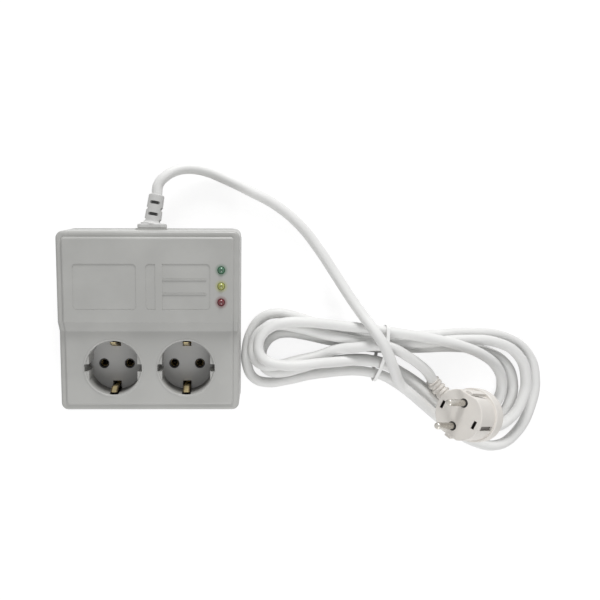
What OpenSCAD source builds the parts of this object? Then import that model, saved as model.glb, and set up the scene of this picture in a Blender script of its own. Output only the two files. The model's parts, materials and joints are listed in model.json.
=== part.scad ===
// Voltage protector on an extension lead. A square moulded case with two
// earthed sockets, three signal lamps and a relay board lies on its back,
// with its sockets up (+Z) and its cord leaving at the far end (+Y). The cord
// crosses to a tied hank of four loops and ends in a right-angle plug.

/* [Case] */
// Width of the case at its front ledge
case_w = 128; // [124:1:150]
// Length of the case, from the socket end to the cord end
case_l = 128; // [124:1:150]
// Depth from the rear face to the upper front panel
case_h = 54; // [52:1:66]
// Height of the step from the lower panel to the upper one
panel_step = 4.6; // [3:0.2:6]
// Radius of the case's corners, seen from the front
corner_r = 5; // [4:0.5:8]
// Wall of both housing shells
wall = 2.2; // [1.8:0.1:2.8]
// Depth of the rear cover, up to the seam
cover_h = 14; // [12:1:16]
// Width of the ledge that frames the front panels
ledge_w = 4; // [3:0.2:5]
// Depth of the ledge below the panels
ledge_drop = 2; // [1.5:0.1:2.5]

/* [Sockets] */
// Distance between the centres of the two sockets
socket_pitch = 52; // [50:1:56]
// Distance from the socket end of the case to the socket centres
socket_to_end = 31; // [29:0.5:33]
// Diameter of the plug recess
recess_d = 39; // [38.6:0.1:40]
// Depth of the plug recess
recess_depth = 17.5; // [17:0.1:18]
// Distance across the two flats of the recess
flat_gap = 34.4; // [34:0.1:35]
// Distance between the two pins, in the sockets and on the plug
pin_pitch = 19; // [18.8:0.1:19.4]
// Diameter of a pin hole in the recess floor
pin_hole_d = 7.6; // [6:0.2:8]
// Diameter of the plug's pins
pin_d = 4.8; // [4:0.1:5]

/* [Lamps] */
// Diameter of a signal lamp
lamp_d = 5; // [3:0.5:6]
// Distance between two lamps
lamp_pitch = 11.2; // [9:0.2:13]

/* [Cord] */
// Outer diameter of the cord
cord_d = 8; // [7:0.1:8.2]

/* [Plug] */
// Diameter of the plug's front, which fills a recess
plug_d = 36.6; // [36:0.1:37]
// Length of the plug's pins
pin_length = 19; // [18:0.5:20]

/* [Hidden] */
$fn = 48;

// Smoothness of the blended case corners, and how far a cut overruns a face
blend_fn = 32;
overrun = 1;
skin = 0.01;

// Colours of the mouldings and metals
case_grey = "#c6c6c2";
cord_white = "#e9e9e4";
boot_grey = "#cfcfcb";
plug_white = "#ded8d2";
brass = "#c9a24a";
steel = "#b9bcc0";
board_green = "#2f7a4d";

// Clearances between moulded pieces, and of a screw in its pilot
mould_gap = 0.15;
screw_gap = 0.05;

// Levels of the front: the ledge follows the panels down the step
panel_low_z = case_h - panel_step;
ledge_high_z = case_h - ledge_drop;
ledge_low_z = panel_low_z - ledge_drop;
edge_r = 2;
panel_edge_r = 1.8;
edge_steps = 4;
// The outer walls widen down to the seam, and the rear cover narrows again
seam_flare = 2.6;
cover_draft = 0.8;
rear_edge_r = 1.5;
// The ramp between the panels, as the distance of its top from the socket end
ramp_to_end = 64.5;
ramp_run = 7;
ramp_top_y = ramp_to_end - case_l / 2;
upper_l = case_l - ramp_to_end;

// Label fields: places across as shares of half the case's width, places along
// as shares of the upper panel, measured from the cord end
label_depth = 0.45;
label_r = 2.5;
label_end_share = 0.356;
label_length_share = 0.505;
label_left_shares = [-0.817, -0.13];
label_right_shares = [-0.025, 0.675];
label_strip_shares = [0.08, 0.156];
label_rib_w = 0.7;
label_rib_shares = [0.334, 0.642];
label_end_y = case_l / 2 - label_end_share * upper_l;
label_l = label_length_share * upper_l;
label_left = case_w / 2 * label_left_shares;
label_right = case_w / 2 * label_right_shares;
label_strip = case_w / 2 * label_strip_shares;

// Socket places and levels
socket_y = socket_to_end - case_l / 2;
floor_z = panel_low_z - recess_depth;
recess_r = recess_d / 2;
well_wall = 1.9;
well_r = recess_r + well_wall;
well_flange_w = 2.1;
well_flange_t = 1.6;
well_spigot = 2.5;
rim_chamfer = 0.9;
flat_top_drop = 1;
key_w = 5.4;
key_depth = 1;
clip_slot_w = 6.4;
clip_slot_top_drop = 1.4;
clip_slot_r = 13;

// Room under the recess floors, which the contacts share
cover_floor_t = 2.5;
well_room = floor_z - cover_floor_t;

// Contact carrier under a recess
carrier_depth_share = 0.476;
carrier_depth = carrier_depth_share * well_room;
carrier_z = floor_z - carrier_depth;
carrier_flange_z = floor_z - well_spigot;
ear_reach = 29;
ear_t = 3;
ear_r = 4;
post_r = 3.1;
post_hole_r = 1.3;
screw_r = 1.25;
screw_head_r = 2.6;
screw_head_h = 1.8;
carrier_screw_l = 10;

// Contact sleeves and bars
sleeve_bore_r = pin_d / 2 + 0.05;
sleeve_t = 0.9;
sleeve_top_drop = 3;
sleeve_l_share = 0.442;
sleeve_l = sleeve_l_share * well_room;
sleeve_top_z = floor_z - sleeve_top_drop;
bar_t = 1;
bar_w = 5;
bar_z = sleeve_top_z - sleeve_l;
bar_offset_y = 10;

// Earth clips: a strip that rises in its slot and bulges towards the plug
clip_w = 5;
clip_t = 0.7;
clip_root_r = 0.9;
clip_root_y = 16;
clip_root_share = 0.585;
clip_root_z = floor_z - clip_root_share * well_room;
clip_neck_y = 16.4;
clip_bulge_y = 15.4;
clip_bulge_h = 9;
clip_tip_y = 18;
clip_tip_h = 15;
bridge_t = 1;
bridge_w = 6;
bridge_gap = 0.2;
bridge_z = clip_root_z - clip_root_r - bridge_gap - bridge_t;
bridge_tail = 1.5;

// Screw posts of the case
corner_post_in = 6.8;
corner_post_r = 3.5;
seat_z = 7.5;
seat_t = 1.5;
seat_tube_r = 5;
head_well_r = 3.4;
housing_screw_l = 16;
lip_h = 2.5;
lip_t = 1.2;

// Circuit board under the upper panel
board_t = 1.6;
board_drop = 10.2;
board_top_z = case_h - board_drop;
board_z = board_top_z - board_t;
board_end_in = 11;
board_side_in = 9.5;
board_to_ramp = 4.7;
board_w = case_w - 2 * board_side_in;
board_l = upper_l - board_end_in - board_to_ramp;
board_bay = board_z - cover_floor_t;
board_post_r = 2.8;
board_post_in = [4.5, 3.2];
board_screw_l = 7;

// Lamps
lamp_side_in = 13;
lamp_mid_share = 0.601;
lamp_x = case_w / 2 - lamp_side_in;
lamp_mid_y = case_l / 2 - lamp_mid_share * upper_l;
lamp_dome_out = 1.6;
lamp_flange_w = 0.4;
lamp_flange_t = 1;
lamp_body_h = 8.6;
lamp_leg_t = 0.5;
lamp_leg_pitch = 2.54;
lamp_gap = 0.15;

// Board components: places from the board's left corner nearest the sockets, and
// sizes, as shares of the board's width and length and of the bay under it
function on_size(shares) = [board_w * shares[0], board_l * shares[1]];
function bay_size(shares) = [board_w * shares[0], board_l * shares[1], board_bay * shares[2]];
transformer_place = on_size([0.083, 0.12]);
transformer_size = bay_size([0.275, 0.5, 0.63]);
coil_inset = 4;
coil_bulge = 3.5;
relay_place = on_size([0.6, 0.12]);
relay_size = bay_size([0.257, 0.4, 0.504]);
relay_edge = 1;
terminal_place = on_size([0.39, 0.62]);
terminal_size = bay_size([0.22, 0.18, 0.277]);
terminal_pitch = terminal_size[0] / 3;
terminal_screw_r = 2.2;
terminal_slot_t = 0.8;
capacitor_shares = [[0.917, 0.24, 0.1, 0.428], [0.917, 0.48, 0.08, 0.327]];
capacitor_groove = 0.5;
capacitor_groove_h = 1.5;
film_place = on_size([0.156, 0.74]);
film_size = bay_size([0.165, 0.16, 0.327]);
film_edge = 0.8;
varistor_place = on_size([0.881, 0.86]);
varistor_share = 0.176;
varistor_r = board_bay * varistor_share;
varistor_t = 4.4;
varistor_leg_share = 0.1;
varistor_leg_l = board_bay * varistor_leg_share;
varistor_leg_t = 0.8;
chip_place = on_size([0.642, 0.72]);
chip_size = bay_size([0.174, 0.128, 0.086]);
chip_legs = 7;
chip_leg_pitch = chip_size[0] / (chip_legs + 0.5);
chip_leg_w = 0.5;
chip_leg_out = 0.9;
resistor_shares = [[0.394, 0.2], [0.431, 0.2], [0.468, 0.2], [0.505, 0.2], [0.394, 0.42], [0.431, 0.42]];
resistor_r = 1.2;
resistor_l_share = 0.12;
resistor_l = board_l * resistor_l_share;
resistor_lead_r = 0.35;
resistor_lead_out = 1.2;
resistor_lift = 1.7;

// Cord inlet: the moulded boot sits in a notch of the far wall
gland_share = 0.37;
gland_z = gland_share * case_h;
gland_notch_r = 6;
boot_flange = [21, 17];
boot_flange_r = 4;
boot_flange_t = 3.2;
// The upright seat under the flange on the sloping wall, beyond the flange all round
boot_seat_rim = 0.8;
boot_inner_t = 2.6;
boot_skirt_l = 2.2;
boot_base_r = 6.3;
boot_tip_r = 5.8;
boot_length = 21.7;
boot_lean = 9;
boot_dip = 6;
boot_slot_w = 7.4;
boot_slot_t = 2.3;
boot_slot_depth = 2.2;
boot_slot_pitch = 8.6;
boot_slot_first = 5.6;
boot_slot_stagger = 4.3;
wall_outer_y = case_l / 2 + seam_flare;
boot_root = [0, wall_outer_y + boot_flange_t, gland_z];

// Cord inside the case, its clamp and its wires
sheath_out = 4;
clamp_gap = 0.1;
cradle_w = 26;
cradle_l = 8;
cradle_in = 12;
clamp_t = 3;
clamp_screw_x = 9.4;
clamp_screw_l = 9;
wire_r = 1.5;
wire_sides = 8;
wire_across = 1.65;
wire_up = 0.9;
wire_straight = 4;
wire_bend = 9;
wire_depth = 3.5;
feed_x = 2.2;
feed_in = 3;

// Hank of four loops: strand spacing across and up
cord_r = cord_d / 2;
layer_gap = 0.6;
floor_gap = 0.2;
hank_sides = 6;
rings_per_loop = 24;
first_ring = 1;
last_ring = 94;
// Each loop's fold to the right and to the left: reach along the tie's axis, how
// far its middle hangs towards the sockets, and half its width
fold_right = [[128, -27, 38], [111, -21, 27.5], [101.5, -32, 16], [116, -23, 33]];
fold_left = [[103, -7.5, 21], [91, -11, 14], [96, -8.5, 8.5], [99, -11, 15.5]];
// Where each loop passes the tie, on its lower and on its upper side
waist_low = [-16, -16.5, -6.5, -6.5, 1];
waist_high = [13, 4, 19, 8.5];
// Fullness of a fold: powers for its reach, its hang and its width, and its skew
right_shape_shares = [1, 1.5, 0.5, -0.06];
left_shape_shares = [0.6, 1.2, 0.5, 0];
// Layer of the strand at eight even steps of each loop, from its lower waist on
layer_shares = [
    [2.4, 1.1, 0, 0, 0.15, 0, 0, 0],
    [0.15, 0, 0, 0, 0.15, 0, 0, 0.7],
    [0.15, 0, 0, 1.3, 1.2, 2, 2.1, 2.3],
    [1.15, 1, 1, 1, 1.15, 0.9, 0.9, 1.35]
];
end_layer_share = 1.1;
// Humps over a crossing: loop, its middle and half length as shares of the loop, layers
hump_shares = [[2, 0.44, 0.12, 0.95], [2, 0.94, 0.1, 0.7]];

// Free stretches of the cord, as chosen points
lead_sides = 10;
lead_route = [
    [10, 105.2, 15.6], [17.6, 109.6, 13], [27, 111.4, 10], [39, 110, 7],
    [55, 104, 4.8], [74, 95, 4.2], [93.5, 84.6, 4.2], [112, 69.5, 4.2],
    [127, 51, 4.6], [140, 31, 8], [150, 14.5, 14.4], [159, 0.5, 22],
    [166, -10, 29.6], [171.5, -19, 33], [176, -28, 33], [180, -36.5, 31]
];
tail_route = [
    [142, -25, 16.8], [152, -23.5, 20.2], [162, -21.8, 22.5],
    [173, -21.5, 23], [184, -24.5, 22.4], [193.5, -30, 20.5], [202.5, -36, 18.4]
];

// Tie round the waist of the hank
tie_w = 2.6;
tie_t = 0.9;
tie_gap = 0.35;
tie_turn = -7;
tie_place = [175, -30];
// Outer strands of the waist in the tie's own plane, along it and above the table
tie_corners = [[-17.9, 5.5], [14.4, 5.5], [19.2, 18.8], [7.4, 23.4], [-8.9, 14.1]];

// Plug: place of its face's centre, and how it is turned
plug_place = [220, -65.7, 54.6];
plug_roll = 54.7;
plug_dip = 9.7;
plug_turn = -109.5;
plug_front_l = 17.5;
plug_flat_gap = 33.8;
plug_key_w = 4.8;
plug_key_out = 1.9;
plug_chamfer = 0.8;
plug_cap_d = 39.4;
plug_cap_l = 10.5;
plug_cap_r = 3;
plug_ring_r = 3.3;
plug_ring_depth = 1.4;
pin_tip_r = 1.6;
pin_nose = 1.6;
earth_slot = [6.2, 2.4];
earth_slot_y = 13.8;
earth_slot_depth = 3;
earth_groove_w = 6.6;
earth_strip_w = 5.6;
earth_strip_t = 0.8;
earth_strip_y = 16.4;
earth_strip_l = 14;
earth_strip_drop = 2;
neck_w = 15;
neck_h = 8.5;
neck_out = 20.5;
neck_z = 22.7;
neck_r = 3;

// Ribbed boot of the plug, curved towards the cord
rib_count = 5;
rib_pitch = 4.4;
rib_share = 0.55;
rib_root_r = 5.4;
rib_tip_r = 5;
rib_depth = 0.8;
rib_sides = 16;
rib_bend = 66;
rib_bend_side_share = -0.9;

// Vector and placing functions
function unit(v) = v / norm(v);
function ease(t) = let (c = max(0, min(1, t))) c * c * (3 - 2 * c);
function mix(a, b, t) = a + (b - a) * t;
function last(list) = list[len(list) - 1];
function tangent(p, i) = unit(p[min(i + 1, len(p) - 1)] - p[max(i - 1, 0)]);
function ring(p, i, r, sides, lean) =
    let (t = tangent(p, i), side = unit(cross(t, lean)), up = cross(side, t))
    [for (k = [0:sides - 1]) p[i] + r * (side * cos(360 * k / sides) + up * sin(360 * k / sides))];

// One closed tube through points p, with a radius for each point. Its rings keep
// level with the lean axis, which the tube never follows
module tube(p, radii, sides, lean = [0, 0, 1]) {
    n = len(p);
    points = [for (i = [0:n - 1]) each ring(p, i, radii[i], sides, lean)];
    walls = [for (i = [0:n - 2], k = [0:sides - 1])
        let (a = i * sides + k, b = i * sides + (k + 1) % sides)
        each [[a, a + sides, b], [b, a + sides, b + sides]]];
    near_cap = [for (k = [1:sides - 2]) [0, k, k + 1]];
    far = (n - 1) * sides;
    far_cap = [for (k = [1:sides - 2]) [far, far + k + 1, far + k]];
    polyhedron(points, concat(walls, near_cap, far_cap));
}
module cord_tube(p, r, sides) {
    tube(p, [for (q = p) r], sides);
}

// Flat outlines and prisms with true round corners
module rounded_rect(w, l, r) {
    square([w - 2 * r, l], center = true);
    square([w, l - 2 * r], center = true);
    for (x = [-1, 1], y = [-1, 1]) translate([x * (w / 2 - r), y * (l / 2 - r)]) circle(r);
}
module rounded_prism(w, l, r, z0, z1) {
    translate([0, 0, z0]) linear_extrude(z1 - z0) rounded_rect(w, l, r);
}
module box_from(x, y, z) {
    translate([x[0], y[0], z[0]]) cube([x[1] - x[0], y[1] - y[0], z[1] - z[0]]);
}

// Blended case forms: thin corner discs and edges that one hull joins
module corner_discs(inset, z, ys) {
    r = max(skin, corner_r - inset);
    for (x = [-1, 1], y = ys)
        translate([x * (case_w / 2 - corner_r), y * (case_l / 2 - corner_r), z])
            cylinder(r = r, h = skin, $fn = blend_fn);
}
module ramp_edge(inset, z, top_z) {
    y = ramp_top_y - ramp_run * (top_z - z) / panel_step;
    translate([-case_w / 2 + inset, y, z]) cube([case_w - 2 * inset, skin, skin]);
}
function edge_inset(r, k) = r * (1 - cos(90 * k / edge_steps));
function edge_z(r, k, top_z) = top_z - skin - r * (1 - sin(90 * k / edge_steps));
module full_form(inset, base_inset, base_z, top_z, r) {
    hull() {
        corner_discs(base_inset, base_z, [-1, 1]);
        for (k = [0:edge_steps]) corner_discs(inset + edge_inset(r, k), edge_z(r, k, top_z), [-1, 1]);
    }
}
module upper_form(inset, base_z, top_z, r) {
    hull() {
        corner_discs(inset, base_z, [1]);
        ramp_edge(inset, base_z, top_z);
        for (k = [0:edge_steps]) {
            corner_discs(inset + edge_inset(r, k), edge_z(r, k, top_z), [1]);
            ramp_edge(inset + edge_inset(r, k), edge_z(r, k, top_z), top_z);
        }
    }
}

function ear_places(side) = [
    [side * (socket_pitch / 2 + ear_reach / sqrt(2)), socket_y - ear_reach / sqrt(2)],
    [side * (socket_pitch / 2 - ear_reach / sqrt(2)), socket_y + ear_reach / sqrt(2)]
];
corner_posts = [for (x = [-1, 1], y = [-1, 1])
    [x * (case_w / 2 - corner_post_in), y * (case_l / 2 - corner_post_in)]];
board_x0 = -board_w / 2;
board_x1 = board_w / 2;
board_y1 = case_l / 2 - board_end_in;
board_y0 = board_y1 - board_l;
board_posts = [for (x = [board_x0 + board_post_in[0], board_x1 - board_post_in[0]],
    y = [board_y0 + board_post_in[1], board_y1 - board_post_in[1]]) [x, y]];
lamp_ys = [for (k = [1, 0, -1]) lamp_mid_y + k * lamp_pitch];
panel_back_low = panel_low_z - wall;
panel_back_high = case_h - wall;

module label_cut(x, y1) {
    translate([(x[0] + x[1]) / 2, y1 - label_l / 2, case_h - label_depth])
        linear_extrude(overrun) rounded_rect(x[1] - x[0], label_l, label_r);
}
module label_fields() {
    label_cut(label_left, label_end_y);
    difference() {
        label_cut(label_right, label_end_y);
        box_from(label_strip, [label_end_y - label_l, label_end_y], [board_z, case_h]);
        for (d = label_l * label_rib_shares)
            box_from([label_strip[1], label_right[1] - label_r],
                [label_end_y - d - label_rib_w, label_end_y - d], [board_z, case_h]);
    }
}
module housing_cavity() {
    inner = 2 * wall;
    deep = 2 * (ledge_w + wall);
    rounded_prism(case_w - inner, case_l - inner, corner_r - wall / 2, cover_h - overrun, ledge_low_z - wall);
    rounded_prism(case_w - deep, case_l - deep, corner_r - wall / 2, cover_h, panel_back_low);
    y0 = ramp_top_y + wall / 4;
    high_l = case_l / 2 - wall - y0;
    translate([0, y0 + high_l / 2, 0])
        rounded_prism(case_w - inner, high_l, corner_r - wall / 2, cover_h, ledge_high_z - wall);
    deep_l = high_l - ledge_w;
    translate([0, y0 + deep_l / 2, 0])
        rounded_prism(case_w - deep, deep_l, corner_r - wall / 2, cover_h, panel_back_high);
}
module gland_notch(gap) {
    y0 = case_l / 2 - wall - overrun;
    reach = wall + seam_flare + 2 * overrun;
    r = gland_notch_r - gap;
    box_from([-r, r], [y0, y0 + reach], [cover_h - overrun, gland_z]);
    translate([0, y0, gland_z]) rotate([-90, 0, 0]) cylinder(r = r, h = reach);
}
module flange_seat() {
    half_w = boot_flange[0] / 2 + boot_seat_rim;
    box_from([-half_w, half_w], [case_l / 2 - wall, wall_outer_y],
        [cover_h, gland_z + boot_flange[1] / 2 + boot_seat_rim]);
}
module post(place, r, z0, z1) {
    translate([place[0], place[1], z0]) cylinder(r = r, h = z1 - z0);
}
module front_housing() color(case_grey) {
    difference() {
        union() {
            difference() {
                union() {
                    full_form(0, -seam_flare, cover_h, ledge_low_z, edge_r);
                    upper_form(0, ledge_low_z - edge_r, ledge_high_z, edge_r);
                    full_form(ledge_w, ledge_w, ledge_low_z - wall, panel_low_z, panel_edge_r);
                    upper_form(ledge_w, ledge_low_z, case_h, panel_edge_r);
                    flange_seat();
                }
                housing_cavity();
            }
            for (p = corner_posts)
                post(p, corner_post_r, seat_z, (p[1] > 0 ? ledge_high_z : ledge_low_z) - wall + skin);
            for (side = [-1, 1], p = ear_places(side))
                post(p, post_r, carrier_flange_z, panel_back_low + skin);
            for (p = board_posts) post(p, board_post_r, board_top_z, panel_back_high + skin);
        }
        for (p = corner_posts) post(p, post_hole_r, seat_z - overrun, seat_z + housing_screw_l);
        for (side = [-1, 1], p = ear_places(side))
            post(p, post_hole_r, carrier_flange_z - overrun, carrier_flange_z + carrier_screw_l);
        for (p = board_posts) post(p, post_hole_r, board_top_z - overrun, board_top_z + board_screw_l);
        for (x = [-1, 1])
            post([x * socket_pitch / 2, socket_y], well_r + mould_gap, ledge_low_z - wall - overrun,
                panel_low_z + overrun);
        for (y = lamp_ys) post([lamp_x, y], lamp_d / 2 + lamp_gap, board_top_z, case_h + overrun);
        gland_notch(0);
        label_fields();
    }
}

module rear_cover() color(case_grey) {
    inner = 2 * wall;
    lip_out = inner + 2 * mould_gap;
    lip_in = lip_out + 2 * lip_t;
    difference() {
        union() {
            difference() {
                hull() {
                    corner_discs(-seam_flare, cover_h - skin - mould_gap, [-1, 1]);
                    for (k = [0:edge_steps])
                        corner_discs(cover_draft - seam_flare + edge_inset(rear_edge_r, k),
                            rear_edge_r * (1 - sin(90 * k / edge_steps)), [-1, 1]);
                }
                rounded_prism(case_w - inner, case_l - inner, corner_r - wall / 2, cover_floor_t, cover_h);
            }
            difference() {
                rounded_prism(case_w - lip_out, case_l - lip_out, corner_r - wall / 2, cover_floor_t,
                    cover_h + lip_h);
                rounded_prism(case_w - lip_in, case_l - lip_in, corner_r - wall, cover_floor_t - overrun,
                    cover_h + lip_h + overrun);
                box_from([-boot_flange[0] / 2, boot_flange[0] / 2],
                    [case_l / 2 - wall - lip_t - overrun, case_l / 2],
                    [gland_z - boot_flange[1] / 2 - mould_gap, cover_h + lip_h + overrun]);
                for (p = corner_posts) post(p, corner_post_r + mould_gap, seat_z, cover_h + lip_h + overrun);
            }
            for (p = corner_posts) post(p, seat_tube_r, cover_floor_t - skin, seat_z);
            cradle();
        }
        for (p = corner_posts) {
            post(p, head_well_r, -overrun, seat_z - seat_t);
            post(p, screw_r + 2 * mould_gap, 0, seat_z + overrun);
        }
    }
}
clamp_y = case_l / 2 - cradle_in;
module cradle() {
    difference() {
        box_from([-cradle_w / 2, cradle_w / 2], [clamp_y - cradle_l, clamp_y],
            [cover_floor_t - skin, gland_z]);
        sheath_way();
        for (x = [-1, 1])
            post([x * clamp_screw_x, clamp_y - cradle_l / 2], post_hole_r, gland_z - clamp_screw_l,
                gland_z + overrun);
    }
}
module sheath_way() {
    translate([0, clamp_y + overrun, gland_z])
        rotate([90, 0, 0]) cylinder(r = cord_r + clamp_gap, h = cradle_l + 2 * overrun);
}
module cable_clamp() color("#dedede") {
    top_z = gland_z + cord_r + clamp_t;
    difference() {
        box_from([-cradle_w / 2, cradle_w / 2], [clamp_y - cradle_l, clamp_y], [gland_z + mould_gap, top_z]);
        sheath_way();
        for (x = [-1, 1])
            post([x * clamp_screw_x, clamp_y - cradle_l / 2], screw_r + 2 * mould_gap, gland_z,
                top_z + overrun);
    }
}

// A screw along Z, its head below or above its seat, with a cross recess
module screw(length, up) {
    head_z = up ? -screw_head_h : 0;
    shank_z = up ? -skin : -length;
    recess_w = screw_head_r;
    recess_t = screw_head_h / 3;
    recess_z = up ? [head_z - overrun, head_z + recess_t] : [screw_head_h - recess_t, screw_head_h + overrun];
    difference() {
        union() {
            translate([0, 0, head_z]) cylinder(r = screw_head_r, h = screw_head_h);
            translate([0, 0, shank_z]) cylinder(r = screw_r - screw_gap, h = length + skin);
        }
        for (a = [0, 90])
            rotate([0, 0, a])
                box_from([-recess_w / 2, recess_w / 2], [-recess_t / 2, recess_t / 2], recess_z);
    }
}
module housing_screws() color(steel) {
    for (p = corner_posts) translate([p[0], p[1], seat_z - seat_t]) screw(housing_screw_l - 2 * seat_t, true);
}
module carrier_screws() color(steel) {
    for (side = [-1, 1], p = ear_places(side))
        translate([p[0], p[1], carrier_flange_z - ear_t]) screw(carrier_screw_l, true);
}
module board_screws() color(steel) {
    for (p = board_posts) translate([p[0], p[1], board_z]) screw(board_screw_l, true);
}
module clamp_screws() color(steel) {
    for (x = [-1, 1])
        translate([x * clamp_screw_x, clamp_y - cradle_l / 2, gland_z + cord_r + clamp_t])
            screw(clamp_screw_l + cord_r, false);
}

// Socket well: a sleeve with two flats, key notches and clip windows
module socket_well() color(case_grey) {
    difference() {
        union() {
            post([0, 0], well_r, carrier_flange_z, panel_low_z);
            post([0, 0], well_r + well_flange_w, panel_back_low - mould_gap - well_flange_t,
                panel_back_low - mould_gap);
        }
        difference() {
            post([0, 0], recess_r, carrier_flange_z - overrun, panel_low_z + overrun);
            for (x = [-1, 1])
                translate([x * (flat_gap / 2 + well_r), 0, 0])
                    box_from([-well_r, well_r], [-well_r, well_r], [floor_z, panel_low_z - flat_top_drop]);
        }
        translate([0, 0, panel_low_z - rim_chamfer])
            cylinder(r1 = recess_r, r2 = recess_r + rim_chamfer, h = rim_chamfer + skin);
        for (x = [-1, 1])
            translate([x * (recess_r + key_depth) / 2, 0, 0])
                box_from([-(recess_r + key_depth) / 2, (recess_r + key_depth) / 2], [-key_w / 2, key_w / 2],
                    [floor_z + skin, panel_low_z + overrun]);
        for (y = [-1, 1])
            translate([0, y * well_r, 0])
                box_from([-clip_slot_w / 2, clip_slot_w / 2], [-well_r / 2, well_r / 2],
                    [carrier_flange_z - overrun, panel_low_z - clip_slot_top_drop]);
    }
}
module socket_well_left() translate([-socket_pitch / 2, socket_y, 0]) socket_well();
module socket_well_right() translate([socket_pitch / 2, socket_y, 0]) socket_well();

// Contact carrier: the recess floor with its pin holes and two screw ears
module contact_carrier(side) color("#b9b9b5") {
    difference() {
        union() {
            post([0, 0], recess_r - mould_gap, carrier_flange_z - skin, floor_z);
            post([0, 0], well_r, carrier_z, carrier_flange_z);
            for (p = ear_places(side)) {
                ear = [p[0] - side * socket_pitch / 2, p[1] - socket_y];
                angle = atan2(ear[1], ear[0]);
                post(ear, ear_r, carrier_flange_z - ear_t, carrier_flange_z);
                rotate([0, 0, angle])
                    box_from([0, ear_reach], [-ear_r / 2, ear_r / 2],
                        [carrier_flange_z - ear_t, carrier_flange_z]);
            }
        }
        for (x = [-1, 1])
            post([x * pin_pitch / 2, 0], pin_hole_d / 2, carrier_z - overrun, floor_z + overrun);
        for (y = [-1, 1])
            translate([0, y * (clip_slot_r + well_r / 2), 0])
                box_from([-clip_slot_w / 2, clip_slot_w / 2], [-well_r / 2, well_r / 2],
                    [carrier_z - overrun, floor_z + overrun]);
        for (p = ear_places(side))
            post([p[0] - side * socket_pitch / 2, p[1] - socket_y], screw_r + 2 * mould_gap,
                carrier_flange_z - ear_t - overrun, carrier_flange_z + overrun);
    }
}
module contact_carrier_left() translate([-socket_pitch / 2, socket_y, 0]) contact_carrier(-1);
module contact_carrier_right() translate([socket_pitch / 2, socket_y, 0]) contact_carrier(1);

// One bar joins the sleeves of the same pole in both sockets
module busbar(side) color(brass) {
    bar_y = socket_y - side * bar_offset_y;
    sleeve_xs = [for (x = [-1, 1]) x * socket_pitch / 2 + side * pin_pitch / 2];
    difference() {
        union() {
            box_from([sleeve_xs[0] - bar_w / 2, sleeve_xs[1] + bar_w / 2],
                [bar_y - bar_w / 2, bar_y + bar_w / 2], [bar_z, bar_z + bar_t]);
            for (x = sleeve_xs) {
                post([x, socket_y], sleeve_bore_r + sleeve_t, bar_z, sleeve_top_z);
                box_from([x - bar_w / 2, x + bar_w / 2], [min(bar_y, socket_y), max(bar_y, socket_y)],
                    [bar_z, bar_z + bar_t]);
            }
        }
        for (x = sleeve_xs) post([x, socket_y], sleeve_bore_r, bar_z - overrun, sleeve_top_z + overrun);
    }
}
module line_busbar() busbar(-1);
module neutral_busbar() busbar(1);

// Earth bridge under both sockets, and the clips that rise from it
module earth_bridge() color(brass) {
    reach = clip_root_y + bridge_tail;
    for (x = [-1, 1])
        translate([x * socket_pitch / 2, socket_y, 0])
            box_from([-bridge_w / 2, bridge_w / 2], [-reach, reach], [bridge_z, bridge_z + bridge_t]);
    box_from([-socket_pitch / 2, socket_pitch / 2],
        [socket_y - reach, socket_y - reach + bridge_w], [bridge_z, bridge_z + bridge_t]);
}
clip_line = [
    [clip_root_y, clip_root_z],
    [clip_neck_y, floor_z],
    [clip_bulge_y, floor_z + clip_bulge_h],
    [clip_tip_y, floor_z + clip_tip_h]
];
function line_normal(p, i) = let (t = tangent(p, i)) [t[1], -t[0]];
module earth_clip() color(brass) {
    half = clip_t / 2;
    outline = concat(
        [for (i = [0:len(clip_line) - 1]) clip_line[i] + half * line_normal(clip_line, i)],
        [for (i = [len(clip_line) - 1:-1:0]) clip_line[i] - half * line_normal(clip_line, i)]);
    translate([clip_w / 2, 0, 0]) rotate([90, 0, -90]) mirror([1, 0, 0])
        linear_extrude(clip_w) union() {
            polygon(outline);
            translate(clip_line[0]) circle(clip_root_r);
        }
}
module placed_clip(x, y) {
    translate([x * socket_pitch / 2, socket_y, 0]) rotate([0, 0, y > 0 ? 0 : 180]) earth_clip();
}
module earth_clip_left_top() placed_clip(-1, 1);
module earth_clip_left_bottom() placed_clip(-1, -1);
module earth_clip_right_top() placed_clip(1, 1);
module earth_clip_right_bottom() placed_clip(1, -1);

// Signal lamp, revolved from its half outline, with two legs to the board
module lamp(y, shade) color(shade) {
    r = lamp_d / 2;
    top = case_h + lamp_dome_out;
    base = top - lamp_body_h;
    translate([lamp_x, y, 0]) {
        rotate_extrude() intersection() {
            union() {
                translate([0, base]) square([r + lamp_flange_w, lamp_flange_t]);
                translate([0, base]) square([r, lamp_body_h - r]);
                translate([0, top - r]) circle(r);
            }
            translate([0, base]) square([2 * r, lamp_body_h]);
        }
        for (x = [-1, 1])
            translate([x * lamp_leg_pitch / 2, 0, 0])
                box_from([-lamp_leg_t / 2, lamp_leg_t / 2], [-lamp_leg_t / 2, lamp_leg_t / 2],
                    [board_top_z, base + skin]);
    }
}
module lamp_green() lamp(lamp_ys[0], "#2fae6a");
module lamp_yellow() lamp(lamp_ys[1], "#c9c24a");
module lamp_red() lamp(lamp_ys[2], "#a02030");

module circuit_board() color(board_green) {
    difference() {
        box_from([board_x0, board_x1], [board_y0, board_y1], [board_z, board_top_z]);
        for (p = board_posts) post(p, screw_r + 2 * mould_gap, board_z - overrun, board_top_z + overrun);
    }
}
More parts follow.
